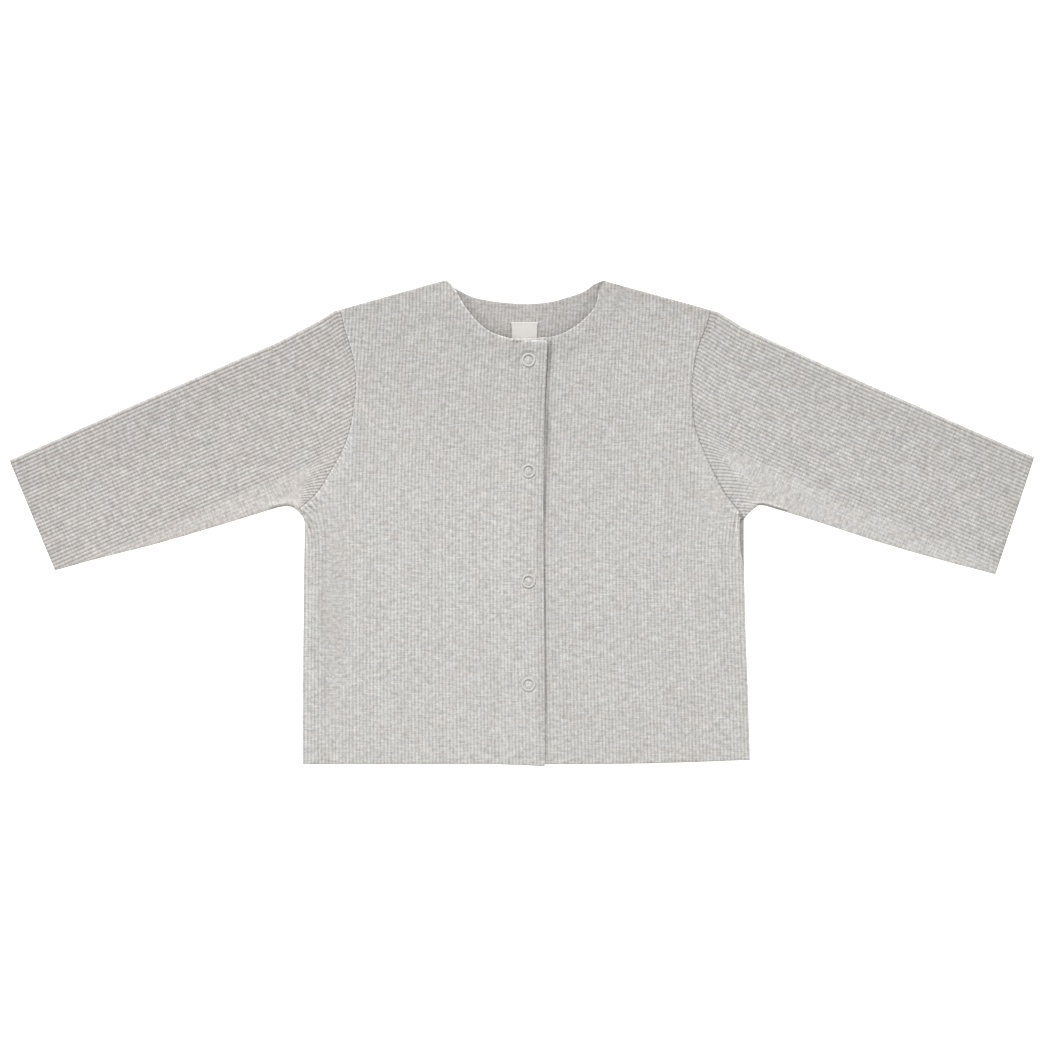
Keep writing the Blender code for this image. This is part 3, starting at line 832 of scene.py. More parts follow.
@dataclass(frozen=True)
class RibFlow:
    """How the ribs of the body run: upright, with a lean towards the neck and a turn at the underarms."""

    cut: BodyCut
    count: int = 129
    lean: float = 0.006
    lean_from: float = -0.025
    lean_rise: float = 0.170
    flare: float = 0.004
    flare_rise: float = 0.050
    flare_reach: float = 0.035
    turn: Sides = Sides(0.0060, 0.0)
    turn_from: float = -0.010
    turn_rise: float = 0.022
    turn_reach: float = 0.008
    rounds: int = 12

    def middle(self, y: Array) -> tuple[Array, Array]:
        """Middle and half width of the body at a height, kept the same above the underarms."""
        right, left = (np.interp(y, self.cut.side_y, out) for out in self.cut.side_out)
        return (left - right) / 2, (left + right) / 2

    def drift(self, x: Array, y: Array) -> Array:
        """Tells how far the ribs have moved sideways.

        Args:
            x: places across the body.
            y: heights in the plan.

        Returns:
            The way towards the left at each of them.
        """
        middle, half = self.middle(y)
        within = np.maximum(half - np.abs(x - middle), 0)
        side = np.where(x > middle, 1, -1)
        turn = np.where(x > middle, self.turn.left, self.turn.right)
        lean = self.lean * np.clip((y - self.lean_from) / self.lean_rise, 0, 1) ** 2
        wide = self.flare * ease((y - self.lean_from) / self.flare_rise) * np.exp(-within / self.flare_reach)
        turned = turn * ease((y - self.turn_from) / self.turn_rise) * np.exp(-within / self.turn_reach)
        return lean + side * (wide + turned)

    def number(self, spots: Array) -> Array:
        """The rib number at each point: whole numbers are valleys and halves are crests."""
        middle, half = self.middle(spots[:, 1])
        return (spots[:, 0] - self.drift(*spots.T) - middle) / half * self.count / 2

    def line(self, number: float, y: Array) -> Array:
        """Follows one rib number by closing in on where it has drifted to.

        Args:
            number: the rib number.
            y: heights in the plan.

        Returns:
            Its points at those heights.
        """
        middle, half = self.middle(y)
        straight = middle + number * half * 2 / self.count
        x = straight
        for _ in range(self.rounds):
            x = (x + straight + self.drift(x, y)) / 2
        return pairs(x, y)

    def lines(self, low: float, high: float, per_rib: int, y: Array) -> list[Array]:
        """Lines from one rib number up to another, so many to a rib."""
        return [self.line(step / per_rib, y) for step in range(ceil(low * per_rib), ceil(high * per_rib))]


# ---- the body's panels
@dataclass(frozen=True)
class SnapLine:
    """Where the ring snaps sit on the bands, and how they press the cloth.

    The bud is the cloth that swells up inside a ring, with some of its ribs. Each pair for it is the
    distance from the snap up to which it stands full, and the stretch over which it then dies out.
    """

    x: float = 0.0044
    y: Row = (0.1108, 0.0354, -0.0394, -0.1095)
    seat_flat: float = 0.0052
    seat_rim: float = 0.0065
    seat_depth: float = 0.0002
    seat_bite: float = 0.0005
    bud: float = 0.00055
    bud_end: Pair = (0.0012, 0.0016)
    bud_rib: float = 0.45
    bud_rib_end: Pair = (0.0020, 0.0012)
    space: float = 0.0010
    row_step: float = 0.0007

    def seat(self, spots: Array) -> tuple[Array, Array, Array]:
        """Finds the nearest snap.

        Args:
            spots: points of the plan.

        Returns:
            For each of them that snap's height in the plan, its distance, and how firmly it presses.
        """
        rows = np.array(self.y)
        nearest = rows[np.abs(spots[:, 1:] - rows).argmin(axis=1)]
        reach = np.hypot(spots[:, 0] - self.x, spots[:, 1] - nearest)
        return nearest, reach, ebb(reach, self.seat_flat, self.seat_rim - self.seat_flat)

    def rows_near(self) -> Array:
        """Heights in the plan close to the snaps."""
        reach = np.arange(-self.seat_rim, self.seat_rim + self.row_step / 2, self.row_step)
        return np.concatenate([y + reach for y in self.y])


@dataclass
class BodyPanel:
    """What the back and the two fronts share.

    margins is how far the ribs are drawn on past the foot and the top of the outline.
    """

    cloth: Cloth
    cut: BodyCut
    ribs: RibFlow
    finish: "RibKnit"
    relief: Relief = field(default_factory=Relief)
    neck_centre: Pair = (0.0015, 0.1660)
    neck_reach: Pair = (0.0520, 0.0415)
    shoulder_fading: float = 0.012
    margins: Pair = (0.0012, 0.0014)

    def seams(self) -> list[Run]:
        """The side and shoulder seams, whose edges roll off."""
        raise NotImplementedError

    def rows(self, outline: Array) -> Array:
        """The heights in the plan at which the ribs have their points."""
        low, high = outline[:, 1].min() - self.margins[0], outline[:, 1].max() + self.margins[1]
        return np.linspace(low, high, round((high - low) / self.cloth.row_step) + 1)

    def outside_neck(self, spots: Array) -> Array:
        """How far each point lies outside the neck opening."""
        away = (spots - np.array(self.neck_centre)) / np.array(self.neck_reach)
        return (np.hypot(*away.T) - 1) * self.neck_reach[1]

    def shoulder_fade(self, spots: Array) -> Array:
        """0 at the shoulder seams and 1 well below them."""
        near = np.minimum(*(self.cut.shoulder(side).distance(spots) for side in Wearer))
        return ease(near / self.shoulder_fading)

    def seam_share(self, spots: Array) -> Array:
        """How much of the thickness is left at each point, beside the rolled edges."""
        return self.cloth.seam_share(np.min([seam.distance(spots) for seam in self.seams()], axis=0))

    def knit(self, stand: PlanFunction) -> PlanFunction:
        """The knit of a face, from how much its ribs stand."""
        return lambda spots: np.stack(
            [self.ribs.number(spots), spots[:, 1] / self.cloth.course, stand(spots)], axis=1)


@dataclass
class BackPanel(BodyPanel):
    """The back: its outer face lies on the table, and its inner face shows inside the neck.

    ribs_seen and rows_seen (first, last and step) bound the ribs that show there, which go flat
    under the fronts over covered. The points of the rest are wide_step apart. The left front is
    tucked in over tuck_y, where the back shows beside it in deep painted shade.
    """

    margins: Pair = (0.0011, 0.0013)
    ground_rib: float = 0.0003
    per_rib: int = 4
    ribs_seen: float = 25.0
    rows_seen: tuple[float, float, float] = (0.1103, 0.1700, 0.0008)
    covered: Pair = (0.002, 0.006)
    wide_x: Pair = (-0.150, 0.150)
    wide_y: Pair = (-0.158, 0.105)
    wide_step: float = 0.010
    tuck_y: Pair = (-0.028, 0.0015)
    tuck_width: float = 0.0060
    tuck_painted_shade: float = 0.9
    tuck_reach: float = 0.005

    def build(self) -> None:
        outline = self.cut.back_outline()
        half, half_step = self.ribs.count / 2, 0.5 / self.per_rib
        rolled = self.cloth.seam_rows(self.seams(), outline)
        ribs = self.ribs.lines(-half, half + half_step, self.per_rib, self.rows(outline))
        under = Face(self.place_under, self.knit(evenly(1.0)), unpainted, ribs + rolled)
        tuck = EdgeFinish(self.tuck(), self.tuck_width, 0.0)
        rows = [row[1:-1] for edge in (self.neck_finish(), tuck) for row in edge.rows(outline)]
        wide = grid(*(np.arange(*reach, self.wide_step) for reach in (self.wide_x, self.wide_y)))
        ribs = self.ribs.lines(-self.ribs_seen, self.ribs_seen, self.per_rib, np.arange(*self.rows_seen))
        over = Face(self.place_over, self.knit(self.stand_over), self.painted_shade_over, ribs,
                    np.vstack([wide, *rows]))
        piece = Sheet("back_panel", outline, under, over).make(self.finish.material())
        piece.data.flip_normals()
        lay_panel(piece, "back", outline)

    def seams(self) -> list[Run]:
        """The side and shoulder seams, whose edges roll up off the table."""
        return [run for side in Wearer for run in (self.cut.side_seam(side), self.cut.shoulder(side))]

    def neck_finish(self) -> EdgeFinish:
        """How the neck edge goes."""
        return EdgeFinish(self.cut.back_neck_edge(), 0.0010, 0.0005)

    def tuck(self) -> Run:
        """The stretch of the left side seam where the front is tucked in and the back shows."""
        side = self.cut.side_seam(Wearer.LEFT).points
        return Run(side[(side[:, 1] > self.tuck_y[0]) & (side[:, 1] < self.tuck_y[1])])

    def painted_shade_over(self, spots: Array) -> Array:
        """Tells how the inner face reads: painted deep shade where the left front is tucked in, over the
        painted shade along the fronts' neck edges.

        Args:
            spots: points of the plan.

        Returns:
            How far each of them is lightened, darkened by painted shade, and toned.
        """
        marks = self.relief.painted_light_and_marks(spots)
        shade = self.tuck_painted_shade * np.exp(-(self.tuck().distance(spots) / self.tuck_reach) ** 4)
        marks[:, 1] = np.maximum(marks[:, 1], shade)
        return marks

    def place_under(self, spots: Array) -> Array:
        """Places the outer face, ribbed, with its crests on the table and its rolled edges lifted.

        Args:
            spots: points of the plan.

        Returns:
            Their places in space.
        """
        lift = self.cloth.thickness * (1 - self.seam_share(spots))
        rise = np.minimum(lift + self.ground_rib * (1 - crest(self.ribs.number(spots))),
                          self.cloth.thickness * (1 - self.cloth.roll_left))
        return np.column_stack([spots, rise])

    def stand_over(self, spots: Array) -> Array:
        """How much the ribs of the inner face stand: within the neck, and fading under the fronts."""
        fade = ebb(self.outside_neck(spots), *self.covered)
        return fade * self.shoulder_fade(spots) * self.relief.stand(spots)

    def place_over(self, spots: Array) -> Array:
        """The inner face."""
        rib = self.cloth.rib * crest(self.ribs.number(spots)) * self.stand_over(spots)
        return np.column_stack([spots, self.cloth.thickness + rib + self.relief.rise(spots)
                                - self.neck_finish().fall(spots)])


@dataclass
class FrontPanel(BodyPanel):
    """A front with its snap band turned double. The right one laps over the left.

    The inner face has points wide_step apart, and band_step apart where the right band climbs over
    the left one and is pressed. It droops past droop_from. The outer face has points fine_step
    apart in fine_boxes, which are left, low, right and top. band_fade is how far its ribs take to
    end beside the band, and clear how far the rows keep from those close to the snaps.
    """

    side: Wearer = Wearer.RIGHT
    snaps: SnapLine = field(default_factory=SnapLine)
    neck_lift: float = 0.0015
    neck_lift_width: float = 0.020
    side_puff: float = 0.0008
    side_puff_width: float = 0.0115
    side_puff_end: float = 0.020
    band_inner: float = -0.0075
    band_outer: float = 0.0140
    band_fade: float = 0.0012
    ramp: float = 0.0110
    ramp_top: float = 0.0008
    droop: float = 0.0010
    droop_from: float = 0.0095
    droop_over: float = 0.0055
    per_rib: int = 8
    rib_range: Sides = Sides((-66, 11), (-8, 70))
    clear: float = 0.0005
    wide_step: float = 0.008
    band_step: float = 0.0022
    band_margin: float = 0.002
    inner_stand: float = 0.5
    fine_step: float = 0.0004
    fine_boxes: Sides = Sides(((-0.0095, 0.1205, 0.0185, 0.1258), (-0.1515, -0.0200, -0.1310, 0.0180)),
                              ((0.1380, -0.0120, 0.1515, 0.0110),))

    @property
    def on_top(self) -> bool:
        """Whether this is the front that laps over the other."""
        return self.side is Wearer.RIGHT

    def build(self) -> None:
        outline = self.cut.front_outline(self.side)
        edge_rows = [row for edge in (*self.relief.edges, *self.relief.gathers) for row in edge.rows(outline)]
        fine = [grid(np.arange(left, right, self.fine_step), np.arange(low, top, self.fine_step))
                for left, low, right, top in self.fine_boxes.of(self.side)]
        outer = Face(self.place_over, self.knit(self.stand), self.relief.painted_light_and_marks,
                     lines=self.rib_lines(outline) + edge_rows + self.cloth.seam_rows(self.seams(), outline),
                     spots=np.vstack(fine))
        inner = Face(self.place_under, self.knit(evenly(self.inner_stand)), unpainted,
                     spots=self.inner_spots(outline))
        name = f"front_{self.side.name.lower()}"
        piece = Sheet(name + "_panel", outline, outer, inner).make(self.finish.material())
        lay_panel(piece, name, outline)

    def seams(self) -> list[Run]:
        """The side and shoulder seams, whose edges roll off."""
        return [self.cut.side_seam(self.side, not self.on_top), self.cut.shoulder(self.side)]

    def rib_lines(self, outline: Array) -> list[Array]:
        """Draws the ribs of the outer face, with their rows closer beside the snaps of the right one.

        Args:
            outline: the panel's outline.

        Returns:
            The lines.
        """
        rows = fine = self.rows(outline)
        if self.on_top:
            close = self.snaps.rows_near()
            apart = np.abs(rows[:, None] - close).min(axis=1) > self.clear
            fine = np.sort(np.concatenate([rows[apart], close]))
        near = self.ribs.number(np.array([(self.snaps.x - self.snaps.seat_rim, self.snaps.y[0]),
                                          (self.snaps.x + self.snaps.seat_rim, self.snaps.y[-1])]))
        first, last = self.rib_range.of(self.side)
        stops = (first, ceil(near[0]), ceil(near[1]), last)
        return [line for first, last, y in zip(stops, stops[1:], (rows, fine, rows))
                for line in self.ribs.lines(first, last, self.per_rib, y)]

    def inner_spots(self, outline: Array) -> Array:
        """Spreads points over the plain inner face.

        Args:
            outline: the panel's outline.

        Returns:
            The points: wide apart, and closer where the band climbs and is pressed.
        """
        (left, low), (right, high) = outline.min(axis=0), outline.max(axis=0)
        start, end = self.band_inner - self.ramp, self.band_outer
        wide = grid(np.arange(left, right, self.wide_step), np.arange(low, high, self.wide_step))
        band = grid(np.arange(start, end, self.band_step), np.arange(low, high, self.band_step))
        on_band = (wide[:, 0] > start - self.band_margin) & (wide[:, 0] < end + self.band_margin)
        return np.vstack([wide[~on_band], band])

    def place_under(self, spots: Array) -> Array:
        """Places the plain inner face.

        Args:
            spots: points of the plan.

        Returns:
            Their places in space.
        """
        nearest, _, press = self.snaps.seat(spots)
        drawn = spots + (pairs(self.snaps.x, nearest) - spots) * press[:, None]
        lift = self.neck_lift * ebb(self.outside_neck(drawn), 0.0, self.neck_lift_width)
        height = self.cloth.thickness + self.cloth.gap + lift * self.shoulder_fade(drawn)
        if self.on_top:
            climb = ease((drawn[:, 0] - self.band_inner + self.ramp) / (self.ramp - self.ramp_top))
            height += self.puff(drawn) + climb * (self.cloth.band + self.snaps.space)
            height += press * self.snaps.seat_bite
            height -= self.droop * ease((drawn[:, 0] - self.droop_from) / self.droop_over)
        return np.column_stack([spots, height])

    def puff(self, spots: Array) -> Array:
        """Raises the soft roll along the right side fold, which dies out below the underarm.

        Args:
            spots: points of the plan.

        Returns:
            How far it raises each of them.
        """
        within = spots[:, 0] + np.interp(spots[:, 1], self.cut.side_y, self.cut.side_out.right)
        bump = np.sin(pi * np.clip(within / self.side_puff_width, 0, 1)) ** 2
        return self.side_puff * bump * ebb(spots[:, 1], 0.0, self.side_puff_end)

    def stand(self, spots: Array) -> Array:
        """Tells how much the ribs stand on the outer face.

        Args:
            spots: points of the plan.

        Returns:
            Their standing share.
        """
        _, reach, press = self.snaps.seat(spots)
        left = self.relief.stand(spots) * (1 - press)
        if self.on_top:
            return left + self.snaps.bud_rib * ebb(reach, *self.snaps.bud_rib_end)
        return left * ease((spots[:, 0] - self.band_outer) / self.band_fade)

    def place_over(self, spots: Array) -> Array:
        """Places the outer face: ribs, band, snap seats, creases and rolled edges.

        Args:
            spots: points of the plan.

        Returns:
            Their places in space.
        """
        _, reach, press = self.snaps.seat(spots)
        height = self.place_under(spots)[:, 2]
        if self.on_top:
            in_band = ease((spots[:, 0] - self.band_inner + self.band_fade) / (2 * self.band_fade))
            height += self.snaps.bud * ebb(reach, *self.snaps.bud_end)
            height -= press * (self.snaps.seat_bite + self.snaps.seat_depth)
        else:
            in_band = ebb(spots[:, 0], self.band_outer, self.band_fade)
            height -= press * self.snaps.seat_bite
        thickness = self.cloth.thickness + (self.cloth.band - self.cloth.thickness) * in_band
        rib = self.cloth.rib * crest(self.ribs.number(spots)) * self.stand(spots)
        whole = (thickness + rib + self.relief.rise(spots)) * self.seam_share(spots)
        return np.column_stack([spots, height + whole - self.relief.fall(spots)])


# ---- the sleeves
@dataclass
class Sleeve:
    """A sleeve: one sheet folded along its top, whose edges meet at the underarm seam.

    In the flat, the first coordinate runs along the fold and the second round it to the seam,
    positive on the upper layer and negative on the lower one.
    """

    cloth: Cloth
    cut: BodyCut
    finish: "RibKnit"
    side: Wearer
    relief: Relief = field(default_factory=Relief)
    cuff_top: Sides = Sides((0.3483, 0.0426), (0.3482, 0.0448))
    seam_places: Sides = Sides(
        ((0.1547, 0.0099), (0.1584, 0.0113), (0.1646, 0.0108), (0.1782, 0.0068),
         (0.2054, -0.0015), (0.2462, -0.0135), (0.2870, -0.0239), (0.3173, -0.0322)),
        ((0.1545, 0.0069), (0.1584, 0.0102), (0.1628, 0.0121), (0.1754, 0.0087),
         (0.2026, 0.0002), (0.2434, -0.0132), (0.2842, -0.0250), (0.3217, -0.0349)))
    sag_share: Row = (0.0, 0.02, 0.06, 0.10, 0.20, 0.31, 0.50, 0.63, 0.82, 1.0)
    sag_depth: Sides = Sides(
        (0.0, -0.0008, 0.0008, 0.0014, 0.0026, 0.0019, 0.0012, 0.0007, 0.0003, 0.0),
        (0.0, -0.0008, 0.0003, 0.0017, 0.0019, 0.0020, 0.0019, 0.0012, 0.0008, 0.0))
    pitch: float = 0.0025
    puff: float = 0.0008
    puff_rise: float = 0.030
    ground_rib: float = 0.0003
    ground_share: float = 0.5
    layer_rise: float = 0.006
    seam_gap: float = -0.00003
    turn_deep: Row = (0.066, 0.076, 0.084, 0.090, 0.095, 0.100, 0.105, 0.110, 0.116)
    turn: Sides = Sides((0.0, 0.06, 0.13, 0.19, 0.29, 0.42, 0.60, 0.75, 0.85),
                        (0.0, 0.10, 0.26, 0.45, 0.47, 0.46, 0.46, 0.50, 0.60))
    bend: Sides = Sides((0.008, 0.008, 0.009, 0.012, 0.020, 0.035, 0.040, 0.040, 0.040),
                        (0.008, 0.010, 0.020, 0.045, 0.060, 0.060, 0.060, 0.060, 0.060))
    near_deep: Sides = Sides((0.080, 0.088, 0.095, 0.100, 0.120), (0.074, 0.081, 0.090, 0.094, 0.100))
    near_past: Sides = Sides((0.006, 0.023, 0.024, 0.023, 0.022), (0.006, 0.024, 0.028, 0.036, 0.033))
    near_fade: Pair = (0.045, 0.008)
    near_left: Sides = Sides(0.40, 0.45)
    near_from: float = 0.25
    near_rise: float = 0.010
    halvings: int = 16
    slope_step: float = 0.0004
    crowd_limit: float = 1.50
    crowd_over: float = 0.35
    calm_past: Sides = Sides((0.024, 0.0345, 0.050, 0.057), (0.018, 0.042, 0.052, 0.062, 0.072, 0.115))
    calm_deep: Sides = Sides((0.0865, 0.0885, 0.0905, 0.0950),
                             (0.0775, 0.0780, 0.0800, 0.0822, 0.0840, 0.0920))
    calm_start: Pair = (0.002, 0.007)
    calm_end: Pair = (0.006, 0.012)
    calm_rise: float = 0.004
    calm_left: Sides = Sides(0.25, 0.12)
    calm_tone: float = -0.04
    gather_spread: float = 0.25
    # tone_deep and tones paint shade by depth round the sleeve, darkest just below the fold
    tone_deep: Row = (0.0, 0.012, 0.022, 0.040, 0.070, 0.110)
    tones: Sides = Sides((-0.09, -0.11, -0.09, -0.05, -0.025, -0.01),
                         (-0.07, -0.09, -0.07, -0.04, -0.025, -0.02))
    per_rib: int = 8
    per_rib_below: int = 4
    fold_steps: int = 3
    margins: Pair = (0.0013, 0.0012)
    close_step: float = 0.0013
    close_reach: float = 0.130
    close_clear: float = 0.001
    inner_step: float = 0.009

    def __post_init__(self) -> None:
        """Works out the fold line and the edges of the sheet."""
        self.tip, cuff = np.array(self.cut.spots(self.side, [self.cut.shoulder_tip.of(self.side),
                                                             self.cuff_top.of(self.side)]))
        self.length = float(np.linalg.norm(cuff - self.tip))
        self.ahead = (cuff - self.tip) / self.length
        self.down = np.array([-self.ahead[1], self.ahead[0]]) * -self.side.value
        self.fold_outer = self.cloth.thickness + self.cloth.gap / 2
        self.fold_inner = self.cloth.gap / 2
        self.quarter = (self.fold_outer + self.fold_inner) / 2 * pi / 2
        outward = self.cut.armhole(self.side).beside(self.seam_gap * self.side.value)
        places = self.cut.spots(self.side, self.seam_places.of(self.side))
        underarm = Run.smooth([outward.points[-1], *places])
        self.hole = Run(self.unfold(outward.points))
        self.seam = Run(self.unfold(underarm.points))
        self.cuff = Run.straight(self.seam.points[-1], np.array([self.length, 0.0]), 25)
        upper = np.vstack([self.hole.points[:-1], self.seam.points[:-1], self.cuff.points])
        upper[0, 1] = upper[-1, 1] = 0.0
        self.outline = np.vstack([upper, (upper * (1, -1))[-2:0:-1]])
        along, deep = self.hole.points.T
        turn = np.interp((deep[1:] + deep[:-1]) / 2, self.turn_deep, self.turn.of(self.side))
        gathered = np.cumsum(turn * (np.diff(along) - self.gather_spread * np.diff(deep)))
        self.gathered = np.insert(gathered, 0, 0.0)

    def sag(self, along: Array) -> Array:
        """How far the fold sags below a straight line."""
        return np.interp(along / self.length, self.sag_share, self.sag_depth.of(self.side))

    def unfold(self, spots: Array) -> Array:
        """Unfolds points of the plan.

        Args:
            spots: the points.

        Returns:
            The points of the flat sheet's upper layer that come to lie there.
        """
        along = (spots - self.tip) @ self.ahead
        deep = np.maximum((spots - self.tip) @ self.down - self.sag(along), 0.0)
        turned = np.arccos(np.clip(1 - deep / self.fold_outer, 0, 1)) / (pi / 2) * self.quarter
        return pairs(along, np.where(deep < self.fold_outer, turned, self.quarter + deep - self.fold_outer))

    def laid(self, along: Array, deep: Array) -> Array:
        """The points of the plan that lie so far along the fold and so deep below it."""
        return self.tip + along[:, None] * self.ahead + (deep + self.sag(along))[:, None] * self.down

    def plan(self, flat: Array) -> Array:
        """The points of the plan where points of the sheet come to lie, as if it had no thickness."""
        return self.laid(flat[:, 0], np.maximum(np.abs(flat[:, 1]) - self.quarter + self.fold_outer, 0.0))

    @staticmethod
    def over(flat: Array) -> Array:
        """The points of the upper layer over points of either layer."""
        return pairs(flat[:, 0], np.abs(flat[:, 1]))

    def past(self, along: Array, deep: Array) -> Array:
        """How far points of the sheet lie from the armhole, along the ribs."""
        return np.maximum(along - np.interp(deep, self.hole.points[:, 1], self.hole.points[:, 0]), 0)

    def near_end(self, deep: Array) -> Array:
        """How far from the armhole the turned ribs reach at a depth."""
        return np.interp(deep, self.near_deep.of(self.side), self.near_past.of(self.side))

    def crowded(self, along: Array, deep: Array) -> Array:
        """Pushes the ribs up and turns them where they crowd into the underarm.

        Args:
            along: places along the fold.
            deep: how far round it they lie.

        Returns:
            How far the ribs have moved there.
        """
        past = self.past(along, deep)
        turn, bend = (np.interp(deep, self.turn_deep, known.of(self.side))
                      for known in (self.turn, self.bend))
        near = np.interp(deep, self.hole.points[:, 1], self.gathered)
        near += turn * bend * (1 - np.exp(-past / bend))
        fade = np.interp(deep, self.near_deep.of(self.side)[:2], self.near_fade)
        return near * ebb(past, self.near_end(deep), fade)

    def number(self, flat: Array) -> Array:
        """The rib number at each point of the sheet."""
        deep = np.abs(flat[:, 1])
        return np.sign(flat[:, 1]) * (deep + self.crowded(flat[:, 0], deep)) / self.pitch

    def flattened(self, flat: Array) -> Array:
        """How flat the ribs lie at each point because they crowd so close, 0 to 1."""
        slopes = [(self.number(flat + self.slope_step * way) - self.number(flat - self.slope_step * way))
                  / (2 * self.slope_step) for way in np.eye(2)]
        return ease((np.hypot(*slopes) * self.pitch - self.crowd_limit) / self.crowd_over)

    def rib_line(self, number: float, along: Array) -> Array:
        """Follows one rib number by halving the depths between which it lies.

        Args:
            number: the rib number.
            along: places along the fold.

        Returns:
            Its points at those places.
        """
        straight = abs(number) * self.pitch
        low, high = np.zeros(len(along)), np.full(len(along), straight)
        for _ in range(self.halvings):
            deep = (low + high) / 2
            above = deep + self.crowded(along, deep) > straight
            low, high = np.where(above, low, deep), np.where(above, deep, high)
        return pairs(along, deep * np.sign(number))

    def calmed(self, flat: Array) -> Array:
        """Finds where the upper layer is drawn flat below the armhole.

        Args:
            flat: points of the sheet.

        Returns:
            How flat it is drawn at each of them, 0 to 1.
        """
        past, ends = self.past(*flat.T), self.calm_past.of(self.side)
        deep = np.interp(past, ends, self.calm_deep.of(self.side))
        (before, rise), (short, fade) = self.calm_start, self.calm_end
        near = ease((past - self.near_end(flat[:, 1]) + before) / rise) * ebb(past, ends[-1] - short, fade)
        return near * ease((flat[:, 1] - deep) / self.calm_rise)

    def stand(self, flat: Array) -> Array:
        """Tells how much the ribs stand.

        Args:
            flat: points of the sheet.

        Returns:
            Their standing share.
        """
        deep = flat[:, 1]
        calm = 1 - (1 - self.calm_left.of(self.side)) * np.maximum(self.calmed(flat), self.flattened(flat))
        turned = ease((deep - self.near_deep.of(self.side)[0]) / self.near_rise)
        share = np.clip(self.past(*flat.T) / self.near_end(deep), 0, 1)
        turned *= ease((share - self.near_from) / (1 - self.near_from))
        calm *= 1 - (1 - self.near_left.of(self.side)) * turned
        edges = Relief(edges=self.relief.edges).stand(flat) * ease((deep + self.quarter) / self.quarter)
        return np.where(deep > -self.quarter, edges * calm, 1.0)

    def folded(self, flat: Array, radius: Array, rolled: bool) -> Array:
        """Folds points of the sheet back into space.

        Args:
            flat: the points of the sheet.
            radius: their distance from the fold's core.
            rolled: whether they lie on the outer face, which rolls off at the underarm seam.

        Returns:
            Their places in space.
        """
        across = self.seam.distance(self.over(flat))
        if rolled:
            radius = self.fold_inner + (radius - self.fold_inner) * self.cloth.seam_share(across)
        turn = np.clip(flat[:, 1] / self.quarter, -1, 1) * pi / 2
        on_fold = np.abs(flat[:, 1]) < self.quarter
        deep = np.where(on_fold, self.fold_outer - radius * np.cos(turn),
                        self.fold_outer + np.abs(flat[:, 1]) - self.quarter)
        height = np.where(on_fold, radius * np.sin(turn), radius * np.sign(flat[:, 1]))
        plan = self.laid(flat[:, 0], deep)
        puff = self.puff
        for away in (across, flat[:, 1], self.cut.armhole(self.side).distance(plan)):
            puff = puff * ease(away / self.puff_rise)
        return np.column_stack([plan, self.fold_outer + height + puff])

    def place_over(self, flat: Array) -> Array:
        """Places the outer face: ribs on both layers, with the lower ones resting on their crests.

        Args:
            flat: points of the sheet.

        Returns:
            Their places in space.
        """
        ribs, deep = crest(self.number(flat)), flat[:, 1]
        creases = self.relief.rise(self.plan(flat)) * ease(deep / self.layer_rise)
        upper = self.cloth.rib * ribs * self.stand(flat) + creases
        lower = -self.ground_rib * (1 - ribs) * ease(-deep / self.layer_rise - self.ground_share)
        rise = np.where(deep > -self.quarter, upper, lower)
        return self.folded(flat, self.fold_outer + rise - self.relief.fall(self.over(flat)), True)

    def place_under(self, flat: Array) -> Array:
        """The plain inner face."""
        return self.folded(flat, np.full(len(flat), self.fold_inner), False)

    def knit(self, flat: Array) -> Array:
        """Rib number, course and standing share of each point of the sheet."""
        return np.stack([self.number(flat), flat[:, 0] / self.cloth.course, self.stand(flat)], axis=1)

    def painted_light_and_marks(self, flat: Array) -> Array:
        """Tells how the outer face reads: painted highlights and shade along edges as they lie in the sheet,
        painted light and shade on creases as they lie in the plan, and painted shade near the fold.

        Args:
            flat: points of the sheet.

        Returns:
            How far each of them is lightened and darkened by painted highlight and shade, and toned.
        """
        edges = Relief(edges=self.relief.edges).painted_light_and_marks(self.over(flat))
        folds = Relief(creases=self.relief.creases).painted_light_and_marks(self.plan(flat))
        folds[:, 2] += self.calm_tone * self.calmed(flat) + np.interp(flat[:, 1], self.tone_deep,
                                                                      self.tones.of(self.side))
        return edges + folds * (flat[:, 1:] > 0)

    def rib_lines(self, along: Array) -> list[Array]:
        """Draws the ribs of both layers, with their points closer where they crowd.

        Args:
            along: places along the fold, where the others have their points.

        Returns:
            The lines.
        """
        ribs = ceil(float(self.number(self.outline).max())) + 1
        close = np.concatenate([np.arange(along[0], self.close_reach, self.close_step),
                                along[along > self.close_reach + self.close_clear]])
        turned = int(self.turn_deep[1] / self.pitch) * self.per_rib
        upper = [self.rib_line(step / self.per_rib, along if step < turned else close)
                 for step in range(self.per_rib // 2, ribs * self.per_rib)]
        return upper + [self.rib_line(-step / self.per_rib_below, along)
                        for step in range(self.per_rib_below // 2, ribs * self.per_rib_below)]

    def build(self) -> None:
        first, last = self.outline[:, 0].min(), self.outline[:, 0].max()
        along = np.linspace(first - self.margins[0], last + self.margins[1],
                            round((last - first) / self.cloth.row_step))
        fold = [pairs(along, step / self.fold_steps * self.quarter)
                for step in range(-self.fold_steps, self.fold_steps)]
        rows = [row for edge in self.relief.edges for row in edge.rows(self.outline)]
        rows += self.cloth.seam_rows([self.seam], self.outline)
        outer = Face(self.place_over, self.knit, self.painted_light_and_marks, lines=fold + self.rib_lines(along) + [
            row * (1, turn) for row in rows for turn in (1, -1)])
        deepest = self.outline[:, 1].max()
        spots = grid(along[::3], np.arange(-deepest, deepest, self.inner_step))
        inner = Face(self.place_under, self.knit, unpainted, lines=fold,
                     spots=spots[np.abs(spots[:, 1]) > 2 * self.quarter])
        name = f"sleeve_{self.side.name.lower()}"
        piece = Sheet(name + "_panel", self.outline, outer, inner).make(self.finish.material())
        lay_panel(piece, name, self.outline)


